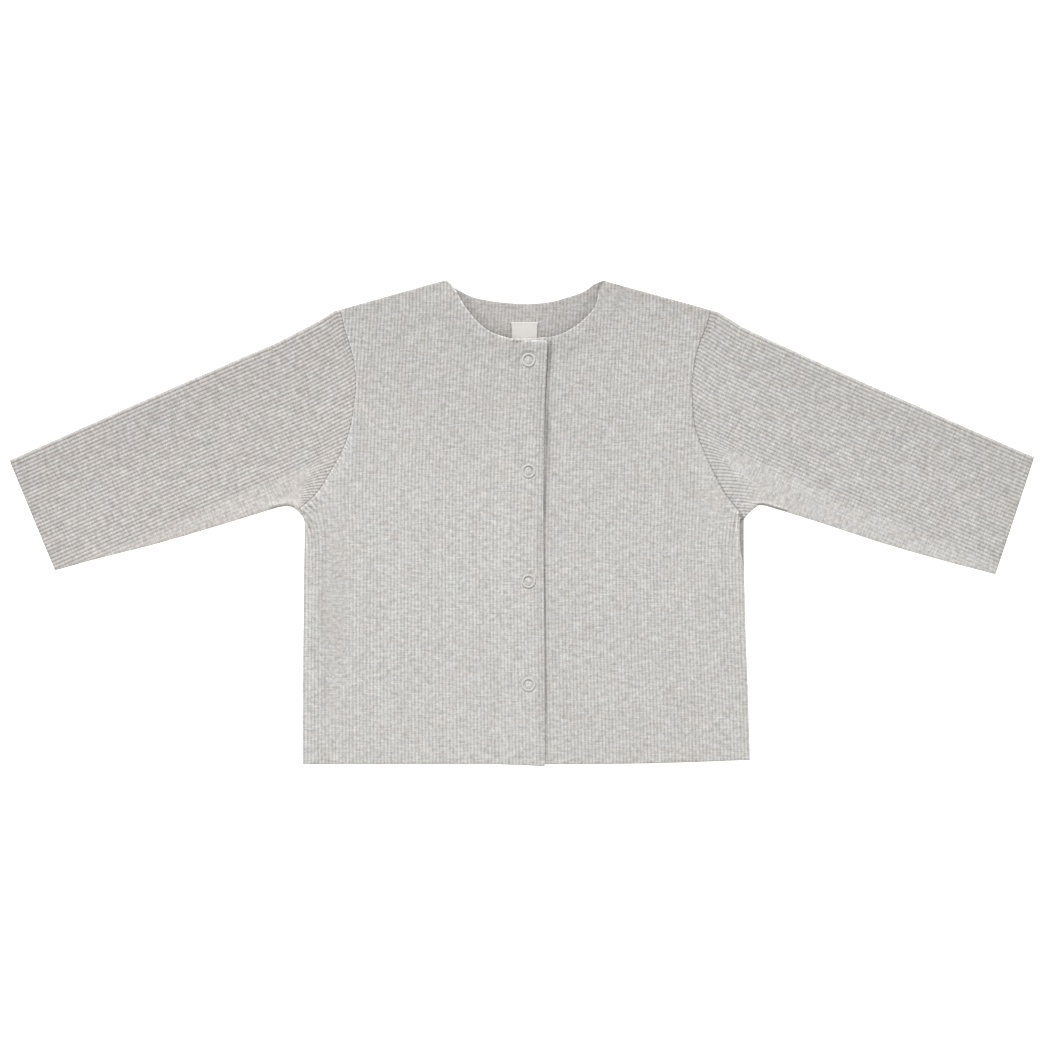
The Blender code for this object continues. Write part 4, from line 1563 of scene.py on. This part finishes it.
# ---- snaps and label
@dataclass
class RingSnap:
    """The open ring of one snap, with rounded shoulders, sunk in its seat."""

    number: int
    outer: float = 0.0047
    inner: float = 0.0033
    inset: float = 0.00004
    wall: float = 0.45
    roundness: float = 0.8
    rounding: int = 13
    sides: int = 72
    sharp: float = 0.9

    def section(self, height: float) -> Array:
        """Draws the ring's section.

        Args:
            height: how high the ring stands.

        Returns:
            The radius and height of each corner.
        """
        half = (self.outer - self.inner) / 2
        turns = np.linspace(0, pi, self.rounding)
        radius = self.inner + half - half * np.cos(turns)
        z = height * (self.wall + (1 - self.wall) * np.sin(turns) ** self.roundness)
        return np.vstack([(self.inner + self.inset, 0.0), pairs(radius, z), (self.outer - self.inset, 0.0)])

    def build(self, material: Material) -> None:
        """Args:
            material: its finish.
        """
        node = f"snap_ring_{self.number}"
        low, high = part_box(node)
        middle = (low + high) / 2
        radius, z = self.section(high.z - low.z).T
        turns = np.arange(self.sides) / self.sides * tau
        places = np.stack([middle.x + radius[:, None] * np.cos(turns),
                           middle.y + radius[:, None] * np.sin(turns),
                           low.z + np.repeat(z[:, None], self.sides, axis=1)], axis=-1).reshape(-1, 3)
        corners = np.arange(len(radius) * self.sides).reshape(-1, self.sides)
        above = np.roll(corners, -1, axis=0)
        faces = np.stack([corners, above, np.roll(above, -1, axis=1), np.roll(corners, -1, axis=1)],
                         axis=-1).reshape(-1, 4)
        piece = mesh_piece(f"ring_{self.number}", places, faces, {}, material, self.sharp)
        hand_over(piece, node)


@dataclass
class NeckLabel:
    """The bare woven label inside the back neck, wider where it is sewn down along its top.

    All distances called down are measured from its top.
    """

    middle: float = 0.0017
    top: float = 0.1367
    length: float = 0.0170
    width: float = 0.0190
    waist: float = 0.0168
    waist_down: float = 0.0020
    rows_down: Row = (0.0, 0.0006, 0.0016, 0.0030, 0.0050, 0.0090, 0.0170)
    thickness: float = 0.00040
    base: float = 0.00198
    belly: float = 0.00022
    belly_turns: float = 1.2
    wave: float = 0.0001
    wave_turns: float = 520.0
    seam_share: float = 0.2
    thread: float = 0.00038
    edge_down: float = 0.0012
    stitch_down: float = 0.0016
    stitch_width: float = 0.0004
    stitch: float = 0.0011
    stitch_space: float = -0.2
    step: float = 0.0004
    inset: float = 0.015

    def outline(self) -> Array:
        """Draws the label's outline, whose sides draw in below its sewn top.

        Returns:
            The outline.
        """
        y = self.top - np.array(self.rows_down)
        half = self.waist / 2 + (self.width - self.waist) / 2 * np.exp(-(self.top - y) / self.waist_down)
        return np.vstack([pairs(self.middle + half, y)[::-1], pairs(self.middle - half, y)])

    def place(self, spots: Array, height: float) -> Array:
        """Places points of the label in space, with a soft hollow below its seam.

        Args:
            spots: the points.
            height: how far above the label's underside they lie.

        Returns:
            Their places in space.
        """
        down = (self.top - spots[:, 1]) / self.length
        belly = self.belly * np.sin(pi * np.clip(down * self.belly_turns, 0, 1))
        belly += self.wave * np.sin(spots[:, 0] * self.wave_turns)
        hollow = np.maximum(belly * ease(down / self.seam_share), 0)
        return np.column_stack([spots, self.base + height + hollow])

    def knit(self, spots: Array) -> Array:
        """Thread numbers across and along the label."""
        return np.column_stack([spots / self.thread, np.ones(len(spots))])

    def painted_light_and_marks(self, spots: Array) -> Array:
        """Tells how the label reads: a lighter sewn top, with its line of stitches just below.

        Args:
            spots: points of the label.

        Returns:
            How far each of them is lightened, darkened and toned.
        """
        down, marks = self.top - spots[:, 1], unpainted(spots)
        marks[:, 0] = np.exp(-(down / self.edge_down) ** 2)
        marks[:, 1] = np.exp(-((down - self.stitch_down) / self.stitch_width) ** 2) * (
            np.sin(spots[:, 0] / self.stitch * tau) > self.stitch_space)
        return marks

    def build(self, material: Material) -> None:
        """Args:
            material: its finish.
        """
        outline = self.outline()
        spots = grid(np.arange(self.middle - self.width / 2, self.middle + self.width / 2, self.step),
                     np.arange(self.top - self.length, self.top, self.step))
        spots = spots[inside(outline * (1 - self.inset, 1) + (self.middle * self.inset, 0), spots)]
        outer = Face(lambda spots: self.place(spots, self.thickness), self.knit, self.painted_light_and_marks, spots=spots)
        inner = Face(lambda spots: self.place(spots, 0.0), self.knit, unpainted, spots=spots[::7])
        piece = Sheet("neck_label", outline, outer, inner).make(material)
        hand_over(piece, "label")


# ---- finishes
class Value:
    """One number in a finish, which Python's own signs work on."""

    def __init__(self, bench: "Bench", socket: bpy.types.NodeSocket | None) -> None:
        """Keeps the socket that carries the number."""
        self.bench, self.socket = bench, socket

    def __add__(self, other: "Value | float") -> "Value":
        """The sum."""
        return self.bench.maths("ADD", self, other)

    def __sub__(self, other: "Value | float") -> "Value":
        """The difference."""
        return self.bench.maths("SUBTRACT", self, other)

    def __rsub__(self, other: float) -> "Value":
        """The difference, with the number first."""
        return self.bench.maths("SUBTRACT", other, self)

    def __mul__(self, other: "Value | float") -> "Value":
        """The product."""
        return self.bench.maths("MULTIPLY", self, other)

    def __pow__(self, power: float) -> "Value":
        """The power."""
        return self.bench.maths("POWER", self, power)

    __radd__ = __add__
    __rmul__ = __mul__


class Bench:
    """The node tree of one finish."""

    def __init__(self, name: str) -> None:
        """Starts an empty finish.

        Args:
            name: its name.
        """
        self.material = bpy.data.materials.new(name)
        self.material.use_nodes = True
        self.tree = self.material.node_tree
        self.tree.nodes.clear()

    @staticmethod
    def find(sockets: Sequence[bpy.types.NodeSocket], key: str | int) -> bpy.types.NodeSocket:
        """Finds a socket by its place, its identifier or its name."""
        if isinstance(key, int):
            return sockets[key]
        return next((socket for socket in sockets if socket.identifier == key), None) or sockets[key]

    def node(self, kind: str, settings: dict | None = None, inputs: dict | None = None,
             output: str | int = 0) -> Value:
        """Adds a node.

        Args:
            kind: its type.
            settings: its own settings, set first.
            inputs: what its sockets are set or linked to.
            output: the socket to hand back.

        Returns:
            The value of that socket.
        """
        made = self.tree.nodes.new(kind)
        for key, setting in (settings or {}).items():
            setattr(made, key, setting)
        for key, given in (inputs or {}).items():
            socket = self.find(made.inputs, key)
            if isinstance(given, Value):
                self.tree.links.new(given.socket, socket)
            else:
                socket.default_value = given
        return Value(self, self.find(made.outputs, output) if len(made.outputs) else None)

    def maths(self, operation: str, *values: Value | float) -> Value:
        """A Math node on numbers."""
        return self.node("ShaderNodeMath", {"operation": operation}, dict(enumerate(values)))

    def clamp(self, value: Value) -> Value:
        """A value held between 0 and 1."""
        return self.node("ShaderNodeClamp", {}, {"Value": value})

    def mix(self, share: Value, first: Value | Colour, second: Value | Colour, blend: str = "MIX") -> Value:
        """A colour mixed from two."""
        return self.node("ShaderNodeMix", {"data_type": "RGBA", "blend_type": blend},
                         {"Factor_Float": share, "A_Color": first, "B_Color": second}, "Result_Color")

    def scaled(self, colour: Value, share: Value) -> Value:
        """A colour made lighter or darker."""
        return self.node("ShaderNodeVectorMath", {"operation": "SCALE"}, {0: colour, "Scale": share})

    def marks(self, name: str) -> tuple[Value, Value, Value]:
        """Reads the three numbers that a mesh keeps at each point.

        Args:
            name: the name under which it keeps them.

        Returns:
            The three numbers.
        """
        vector = self.node("ShaderNodeAttribute", {"attribute_name": name}, {}, "Vector")
        apart = self.node("ShaderNodeSeparateXYZ", {}, {"Vector": vector}).socket.node
        return tuple(Value(self, socket) for socket in apart.outputs)

    def noise(self, vector: Value, scale: float, detail: float, roughness: float = 0.5) -> Value:
        """Soft noise about 0, from about -0.5 to 0.5."""
        inputs = {"Vector": vector, "Scale": scale, "Detail": detail, "Roughness": roughness}
        return self.node("ShaderNodeTexNoise", {}, inputs, "Fac") - 0.5

    def join(self, x: Value | float, y: Value | float, z: Value | float = 0.0) -> Value:
        """A vector from three numbers."""
        return self.node("ShaderNodeCombineXYZ", {}, {"X": x, "Y": y, "Z": z})

    def place(self) -> Value:
        """The place on the piece, in metres."""
        return self.node("ShaderNodeTexCoord", {}, {}, "Object")

    def bump(self, strength: float, depth: float, height: Value) -> Value:
        """A surface raised by a height, of which 1 stands for a depth in metres."""
        return self.node("ShaderNodeBump", {},
                         {"Strength": strength, "Distance": depth, "Height": height}, "Normal")

    def finish(self, inputs: dict) -> Material:
        """Ends the tree in one surface shader.

        Args:
            inputs: what the shader's sockets are set or linked to.

        Returns:
            The material.
        """
        shader = self.node("ShaderNodeBsdfPrincipled", {}, inputs, "BSDF")
        self.node("ShaderNodeOutputMaterial", {}, {"Surface": shader})
        return self.material


@dataclass(frozen=True)
class RibKnit:
    """Heather yarn in a fine rib: pale and grey fibres, columns of stitches, painted shade in the valleys."""

    name: str
    pale: Colour = (0.700, 0.700, 0.676, 1.0)
    grey: Colour = (0.430, 0.425, 0.402, 1.0)
    warm: Colour = (1.0, 0.950, 0.950, 1.0)
    warmth: float = 0.3
    brightness: float = 1.0
    valley_shade: float = 0.16
    leg_slope: float = 0.55
    relief: Pair = (0.55, 0.00022)
    piece_shift: float = 0.0

    def material(self) -> Material:
        """Builds the finish.

        Returns:
            The material.
        """
        bench = Bench(self.name)
        rib, course, stand = bench.marks("knit")
        # painted highlight, painted shade and tone at each point of the mesh
        light, dark, tone = bench.marks("painted_light_and_marks")
        within = bench.maths("FRACT", rib)
        across = bench.maths("ABSOLUTE", within * 2 - 1)
        leg = bench.maths("ABSOLUTE", bench.maths("FRACT", course + across * self.leg_slope) * 2 - 1)
        stitch = (1 - leg ** 2.0) * (1 - across * 0.6)
        shift = self.piece_shift
        place = bench.place()
        heather = bench.noise(place, 400.0, 2.0, 0.6)
        dash = bench.noise(bench.join(rib * 0.30, course * 1.15, shift + 6.0), 1.0, 1.0)
        fleck = bench.noise(bench.join(rib * 2.0, course * 1.3, shift + 9.0), 1.0, 1.0)
        fibre = bench.noise(bench.join(rib * 7.0, course * 2.2, shift + 4.0), 1.0, 2.0, 0.7)
        patch = bench.noise(place, 24.0, 2.0)
        hue = bench.noise(place, 80.0, 1.0)
        blend = bench.clamp(0.5 + heather * 1.6 + dash * 1.25 + fleck * 1.1 + fibre * 0.35)
        yarn = bench.mix(blend, self.grey, self.pale)
        warmth = bench.clamp(self.warmth + hue * 1.5 - tone * 1.2)
        tinted = bench.mix(warmth, yarn, self.warm, "MULTIPLY")
        # painted shade in the rib valleys and between stitch legs, painted highlights along lit edges
        # (light), painted shade in creases, recesses and under overlaps (dark), and tone, mostly painted
        # light and shade
        shade = (self.brightness - across ** 2.0 * stand * self.valley_shade - leg * stand * 0.03
                 + patch * 0.05 + tone + light * (fleck * 0.9 + 0.28) - dark * 0.30)
        colour = bench.scaled(tinted, shade)
        bump = bench.bump(*self.relief, stitch * stand * 0.55 + fibre * 0.30 + fleck * 0.18)
        return bench.finish({"Base Color": colour, "Roughness": bench.clamp(0.86 + fleck * 0.12),
                             "Normal": bump, "Sheen Weight": 0.18, "Sheen Roughness": 0.45,
                             "Specular IOR Level": 0.22})


@dataclass(frozen=True)
class RingEnamel:
    """Matt cloth-coloured enamel on the rings, a little rubbed on its crown."""

    name: str = "ring_enamel"
    coat: Colour = (0.490, 0.478, 0.455, 1.0)
    rubbed: Colour = (0.570, 0.556, 0.533, 1.0)

    def material(self) -> Material:
        """Builds the finish.

        Returns:
            The material.
        """
        bench = Bench(self.name)
        place = bench.place()
        cloud = bench.noise(place, 420.0, 3.0, 0.6)
        grain = bench.noise(place, 3600.0, 2.0, 0.6)
        normal = bench.node("ShaderNodeNewGeometry", {}, {}, "Normal")
        up = bench.node("ShaderNodeSeparateXYZ", {}, {"Vector": normal}, "Z")
        crown = bench.clamp(up * 1.5 - 0.6 + cloud)
        bump = bench.bump(0.2, 0.00005, grain)
        return bench.finish({"Base Color": bench.mix(crown, self.coat, self.rubbed),
                             "Roughness": bench.clamp(0.42 + cloud * 0.25 + grain * 0.15),
                             "Normal": bump, "Specular IOR Level": 0.5})


@dataclass(frozen=True)
class PressedTin:
    """The dull pressed metal of the snap bodies, brushed round by the press."""

    name: str = "pressed_tin"
    metal: Colour = (0.560, 0.545, 0.520, 1.0)
    dull: Colour = (0.430, 0.420, 0.405, 1.0)

    def material(self) -> Material:
        """Builds the finish.

        Returns:
            The material.
        """
        bench = Bench(self.name)
        cloud = bench.noise(bench.place(), 900.0, 3.0, 0.6)
        bump = bench.bump(0.3, 0.00004, cloud)
        return bench.finish({"Base Color": bench.mix(bench.clamp(0.5 + cloud * 1.5), self.dull, self.metal),
                             "Metallic": bench.clamp(0.85 + cloud * 0.2),
                             "Roughness": bench.clamp(0.38 + cloud * 0.3), "Normal": bump})


@dataclass(frozen=True)
class WovenLabel:
    """Undyed cotton tape in a plain weave."""

    name: str = "label_weave"
    cream: Colour = (0.700, 0.674, 0.650, 1.0)
    shade: Colour = (0.550, 0.530, 0.505, 1.0)

    def material(self) -> Material:
        """Builds the finish.

        Returns:
            The material.
        """
        bench = Bench(self.name)
        warp, weft, _ = bench.marks("knit")
        light, dark, _ = bench.marks("painted_light_and_marks")
        over = bench.maths("SINE", warp * pi) * bench.maths("SINE", weft * pi)
        slub = bench.noise(bench.join(warp * 0.4, weft * 2.0), 1.0, 2.0)
        weave = bench.clamp(0.62 + over * 0.30 + slub * 0.8)
        colour = bench.scaled(bench.mix(weave, self.shade, self.cream), 0.93 + light * 0.14 - dark * 0.22)
        bump = bench.bump(0.5, 0.00008, over * 0.5 + slub * 0.6)
        return bench.finish({"Base Color": colour, "Roughness": bench.clamp(0.78 + slub * 0.1),
                             "Normal": bump, "Sheen Weight": 0.1, "Specular IOR Level": 0.25})


# ---- the studio
@dataclass
class Studio:
    """A plain pale table, soft light from above and beyond the shoulder, and a long lens straight down."""

    view_width: float = 0.7133
    aim: Pair = (0.0017, -0.0010)
    distance: float = 3.2
    sensor: float = 36.0
    far: float = 50.0
    table: float = 6.0
    paper: Colour = (0.93, 0.93, 0.93, 1.0)
    white: Colour = (1.0, 1.0, 1.0, 1.0)
    glow: float = 0.8
    sky: float = 0.74

    def build(self) -> None:
        """Builds the table, the lights and the camera."""
        self.floor()
        self.lights()
        self.camera()

    def floor(self) -> None:
        """A wide pale table top."""
        bench = Bench("table_paper")
        grain = bench.noise(bench.place(), 900.0, 2.0)
        bump = bench.bump(0.05, 0.0001, grain)
        paper = bench.finish({"Base Color": self.paper, "Roughness": bench.clamp(0.8 + grain * 0.05),
                              "Normal": bump, "Specular IOR Level": 0.1,
                              "Emission Color": self.white, "Emission Strength": self.glow})
        places = self.table / 2 * np.array([(-1, -1, 0), (1, -1, 0), (1, 1, 0), (-1, 1, 0)])
        mesh_piece("floor", places, np.array([(0, 1, 2, 3)]), {}, paper, 1.0)

    def lights(self) -> None:
        """A large soft key beyond the neck and to the left, a weak fill, and light all round."""
        world = bpy.data.worlds.new("studio")
        bpy.context.scene.world = world
        world.use_nodes = True
        sky = world.node_tree.nodes["Background"].inputs
        sky["Color"].default_value, sky["Strength"].default_value = self.white, self.sky
        self.lamp("key", (-1.10, 3.90, 3.30), 1.9, 195.0)
        self.lamp("fill", (0.9, -1.2, 1.9), 1.4, 3.0)

    def lamp(self, name: str, place: tuple[float, float, float], size: float, power: float) -> None:
        """Hangs one square lamp that looks at the cardigan.

        Args:
            name: the lamp's name.
            place: where it hangs.
            size: the length of its side.
            power: its power in watts.
        """
        light = bpy.data.lights.new(name, "AREA")
        light.size, light.energy = size, power
        lamp = put(name, light)
        lamp.location = place
        lamp.rotation_mode = "QUATERNION"
        lamp.rotation_quaternion = (-Vector(place)).to_track_quat("-Z", "Y")

    def camera(self) -> None:
        """The camera, straight above and square to the cardigan."""
        lens = bpy.data.cameras.new("camera")
        lens.sensor_width = self.sensor
        lens.lens = self.sensor * self.distance / self.view_width
        lens.clip_end = self.far
        camera = put("camera", lens)
        camera.location = (*self.aim, self.distance)
        bpy.context.scene.camera = camera
        bpy.context.scene.view_settings.view_transform = "Standard"


# ---- the cardigan
@dataclass
class Cardigan:
    """The whole garment, piece by piece in the order in which they lie."""

    cloth: Cloth = field(default_factory=Cloth)
    cut: BodyCut = field(default_factory=BodyCut)
    snaps: SnapLine = field(default_factory=SnapLine)

    def build(self) -> None:
        """Builds every piece."""
        ribs = RibFlow(self.cut)
        # brightness 0.81 darkens the back's inside within the neck, as painted shade
        finish = RibKnit("knit_back_shaded", warmth=0.7, brightness=0.81, valley_shade=0.10, piece_shift=3.0)
        # painted shade on the back along the fronts' neck edges, which overhang it
        painted_neck_shade = Relief(edges=tuple(EdgeFinish(self.cut.neck(side), 0.0010, 0.0, dark=0.30, line=0.0060)
                                    for side in Wearer))
        BackPanel(self.cloth, self.cut, ribs, finish, painted_neck_shade).build()
        for side, shift, warmth in ((Wearer.LEFT, 10.0, 0.4), (Wearer.RIGHT, 20.0, 0.75)):
            finish = RibKnit(f"knit_front_{side.name.lower()}", valley_shade=0.18, piece_shift=shift)
            FrontPanel(self.cloth, self.cut, ribs, finish, self.front_relief(side), side=side).build()
            finish = RibKnit(f"knit_sleeve_{side.name.lower()}", warmth=warmth, brightness=0.985, valley_shade=0.28,
                             piece_shift=shift + 30)
            sleeve = Sleeve(self.cloth, self.cut, finish, side)
            sleeve.relief = self.sleeve_relief(sleeve)
            sleeve.build()
        enamel = RingEnamel().material()
        for number, _ in enumerate(self.snaps.y, 1):
            RingSnap(number).build(enamel)
        NeckLabel().build(WovenLabel().material())
        self.dress_bodies()

    def front_relief(self, side: Wearer) -> Relief:
        """Sets out the edges, creases and calm patches of a front, with their painted highlights and shade.

        Args:
            side: whose front it is.

        Returns:
            Its relief.
        """
        neck, armhole = self.cut.neck(side), self.cut.armhole(side)
        # light paints a highlight along edges that face the key lamp, and dark paints shade along edges,
        # seams and overlaps that face away from it or lie under other cloth
        edges = (
            EdgeFinish(self.cut.hem(side), 0.0011, 0.0006, dark=0.35),
            EdgeFinish(neck, 0.0012, 0.0007, light=0.9 if side is Wearer.RIGHT else 0.5, line=0.0008),
            EdgeFinish(self.cut.front_edge(side), 0.0021, 0.0014, light=0.4, line=0.0012),
            EdgeFinish(self.cut.shoulder(side), 0.0020, 0.0, dark=0.25, line=0.0045),
        )
        # heights and tones: painted shade that darkens the front towards the shoulders
        heights = (-0.020, 0.045, 0.080, 0.110, 0.140)
        if side is Wearer.RIGHT:
            edges += (EdgeFinish(armhole, 0.0006, 0.00015, light=0.9, line=0.0007),
                      EdgeFinish(armhole.part(-13, None), 0.0006, 0.0, light=0.5, line=0.0016),
                      EdgeFinish(neck.part(-17, None), 0.0014, 0.0008, light=0.7, line=0.0014),
                      EdgeFinish(self.cut.side_seam(side).part(0, 30), 0.0010, 0.0, dark=1.1, line=0.0006))
            # crease tones paint shade into troughs and light onto ridges; the calm patch is toned darker
            creases = (
                Crease((-0.1345, -0.140), (-0.1345, 0.005), 0.0020, -0.0005, tone=-0.07),
                Crease((-0.0072, -0.150), (-0.0072, 0.118), 0.0007, -0.0003, tone=-0.02, fade=0.1),
                Crease((-0.0078, 0.1230), (-0.0030, 0.1252), 0.0006, -0.0003, tone=-0.32, fade=0.3),
                Crease((-0.0066, 0.1236), (0.0016, 0.1228), 0.0006, -0.0003, tone=-0.30, fade=0.3),
                Crease((-0.0022, 0.1155), (-0.0026, 0.1040), 0.0017, -0.0002, tone=-0.10, fade=0.3),
                Crease((0.0122, -0.160), (0.0122, 0.110), 0.0026, -0.0001, tone=-0.05, fade=0.1),
                *(Crease(*pucker, fade=0.3) for pucker in (
                    ((-0.1546, 0.0136), (-0.1440, 0.0018), 0.0006, -0.0004, -0.26),
                    ((-0.1530, 0.0144), (-0.1428, 0.0030), 0.0005, 0.0004, 0.12),
                    ((-0.1518, 0.0150), (-0.1410, 0.0038), 0.0005, -0.0004, -0.24),
                    ((-0.1502, 0.0160), (-0.1396, 0.0046), 0.0005, 0.0004, 0.12),
                    ((-0.1490, 0.0166), (-0.1380, 0.0050), 0.0005, -0.0004, -0.22),
                    ((-0.1474, 0.0176), (-0.1368, 0.0060), 0.0005, 0.0003, 0.11),
                    ((-0.1460, 0.0184), (-0.1356, 0.0068), 0.0005, -0.0004, -0.18),
                    ((-0.1434, 0.0206), (-0.1352, 0.0108), 0.0005, -0.0003, -0.14),
                    ((-0.1464, 0.0035), (-0.1398, -0.0150), 0.0006, -0.0003, -0.14))),
            )
            calm = (CalmSpot((-0.1265, -0.060), (0.072, 0.0095), pi / 2, 0.15, tone=-0.13),)
            gathers = (Gathers(armhole, 0.080, armhole.lengths()[-1] - 0.008),)
            tones = (heights, (0.0, -0.03, -0.06, -0.085, -0.105))
        else:
            edges += (EdgeFinish(armhole, 0.0006, 0.0003, dark=0.6, line=0.0006),
                      EdgeFinish(neck.part(0, 9), 0.0010, 0.0007, dark=2.0, line=0.0014))
            # the first two creases are the painted shadow that the right band casts beside its edge; the rest
            # paint light and shade on the folds at the side below the underarm
            creases = (
                Crease((0.0188, 0.130), (0.0150, 0.000), 0.0019, -0.0004, tone=-0.25, fade=0.08),
                Crease((0.0152, 0.015), (0.0162, -0.168), 0.0013, -0.0004, tone=-0.10, fade=0.08),
                Crease((0.1462, 0.0085), (0.1456, -0.022), 0.0008, 0.0005, tone=0.19, fade=0.2),
                Crease((0.1450, 0.0070), (0.1446, -0.020), 0.0007, -0.0003, tone=-0.10, fade=0.2),
                Crease((0.1476, 0.0068), (0.1496, 0.0024), 0.0008, -0.0005, tone=-0.45, fade=0.3),
                Crease((0.1452, 0.0048), (0.1478, 0.0088), 0.0006, 0.0005, tone=0.18, fade=0.3),
            )
            calm = (CalmSpot((0.132, 0.014), (0.018, 0.013), pi / 2, 0.35, tone=-0.06),
                    CalmSpot((0.064, 0.153), (0.018, 0.013), 0.0, 0.50, tone=-0.10))
            gathers = (Gathers(armhole, 0.085, armhole.lengths()[-1] - 0.004, height=0.00012, tone=0.04),)
            tones = (heights, (-0.02, -0.045, -0.06, -0.065, -0.10))
        return Relief(edges, creases, calm, gathers, tones)

    def sleeve_relief(self, sleeve: Sleeve) -> Relief:
        """Sets out the edges and creases of a sleeve, with their painted highlights and shade.

        Args:
            sleeve: the sleeve.

        Returns:
            Its relief.
        """
        # dark paints shade along the armhole and the cuff and in the hollow under the underarm seam, and
        # darkens a wider band at the cuff; tone and the crease tones paint light on the ridges beside them
        edges = (
            EdgeFinish(sleeve.hole, 0.0013, 0.0006, dark=0.6),
            EdgeFinish(sleeve.cuff, 0.0011, 0.0006, dark=0.5, line=0.0012),
            EdgeFinish(sleeve.cuff, 0.0060, 0.0, dark=0.10, line=0.0140),
        )
        if sleeve.side is Wearer.RIGHT:
            edges += (EdgeFinish(sleeve.seam.part(2, 23, -0.0036), 0.0016, 0.0, line=0.0017, smooth=0.8,
                                 tone=0.11),
                      EdgeFinish(sleeve.seam.part(8, 22, -0.0008), 0.0010, 0.0, dark=1.3, line=0.0009))
            creases = (Crease((-0.128, 0.1385), (-0.215, 0.0985), 0.0012, 0.0003, tone=0.02),)
        else:
            edges += (EdgeFinish(sleeve.seam.part(16, 26, -0.0008), 0.0010, 0.0, dark=1.6, line=0.0009),
                      EdgeFinish(sleeve.seam.part(16, 26, -0.0022), 0.0010, 0.0, line=0.0006, tone=0.22))
            creases = (Crease((0.1346, 0.1385), (0.215, 0.1020), 0.0012, 0.0003, tone=0.02),
                       Crease((0.1440, 0.0116), (0.1612, 0.0146), 0.0008, 0.0002, tone=0.20, fade=0.15))
        return Relief(edges, creases)

    def dress_bodies(self) -> None:
        """Gives the snap bodies, which keep their CAD shape, their metal."""
        tin = PressedTin().material()
        for number, _ in enumerate(self.snaps.y, 1):
            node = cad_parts[f"snap_body_{number}"]
            node.data.materials.clear()
            node.data.materials.append(tin)
            LOG.info("%s: kept, %s", node.name, tin.name)


def main() -> None:
    """Builds the studio and the cardigan."""
    logging.basicConfig(level=logging.INFO, format="%(message)s")
    Studio().build()
    Cardigan().build()


if __name__ == "__main__":
    main()
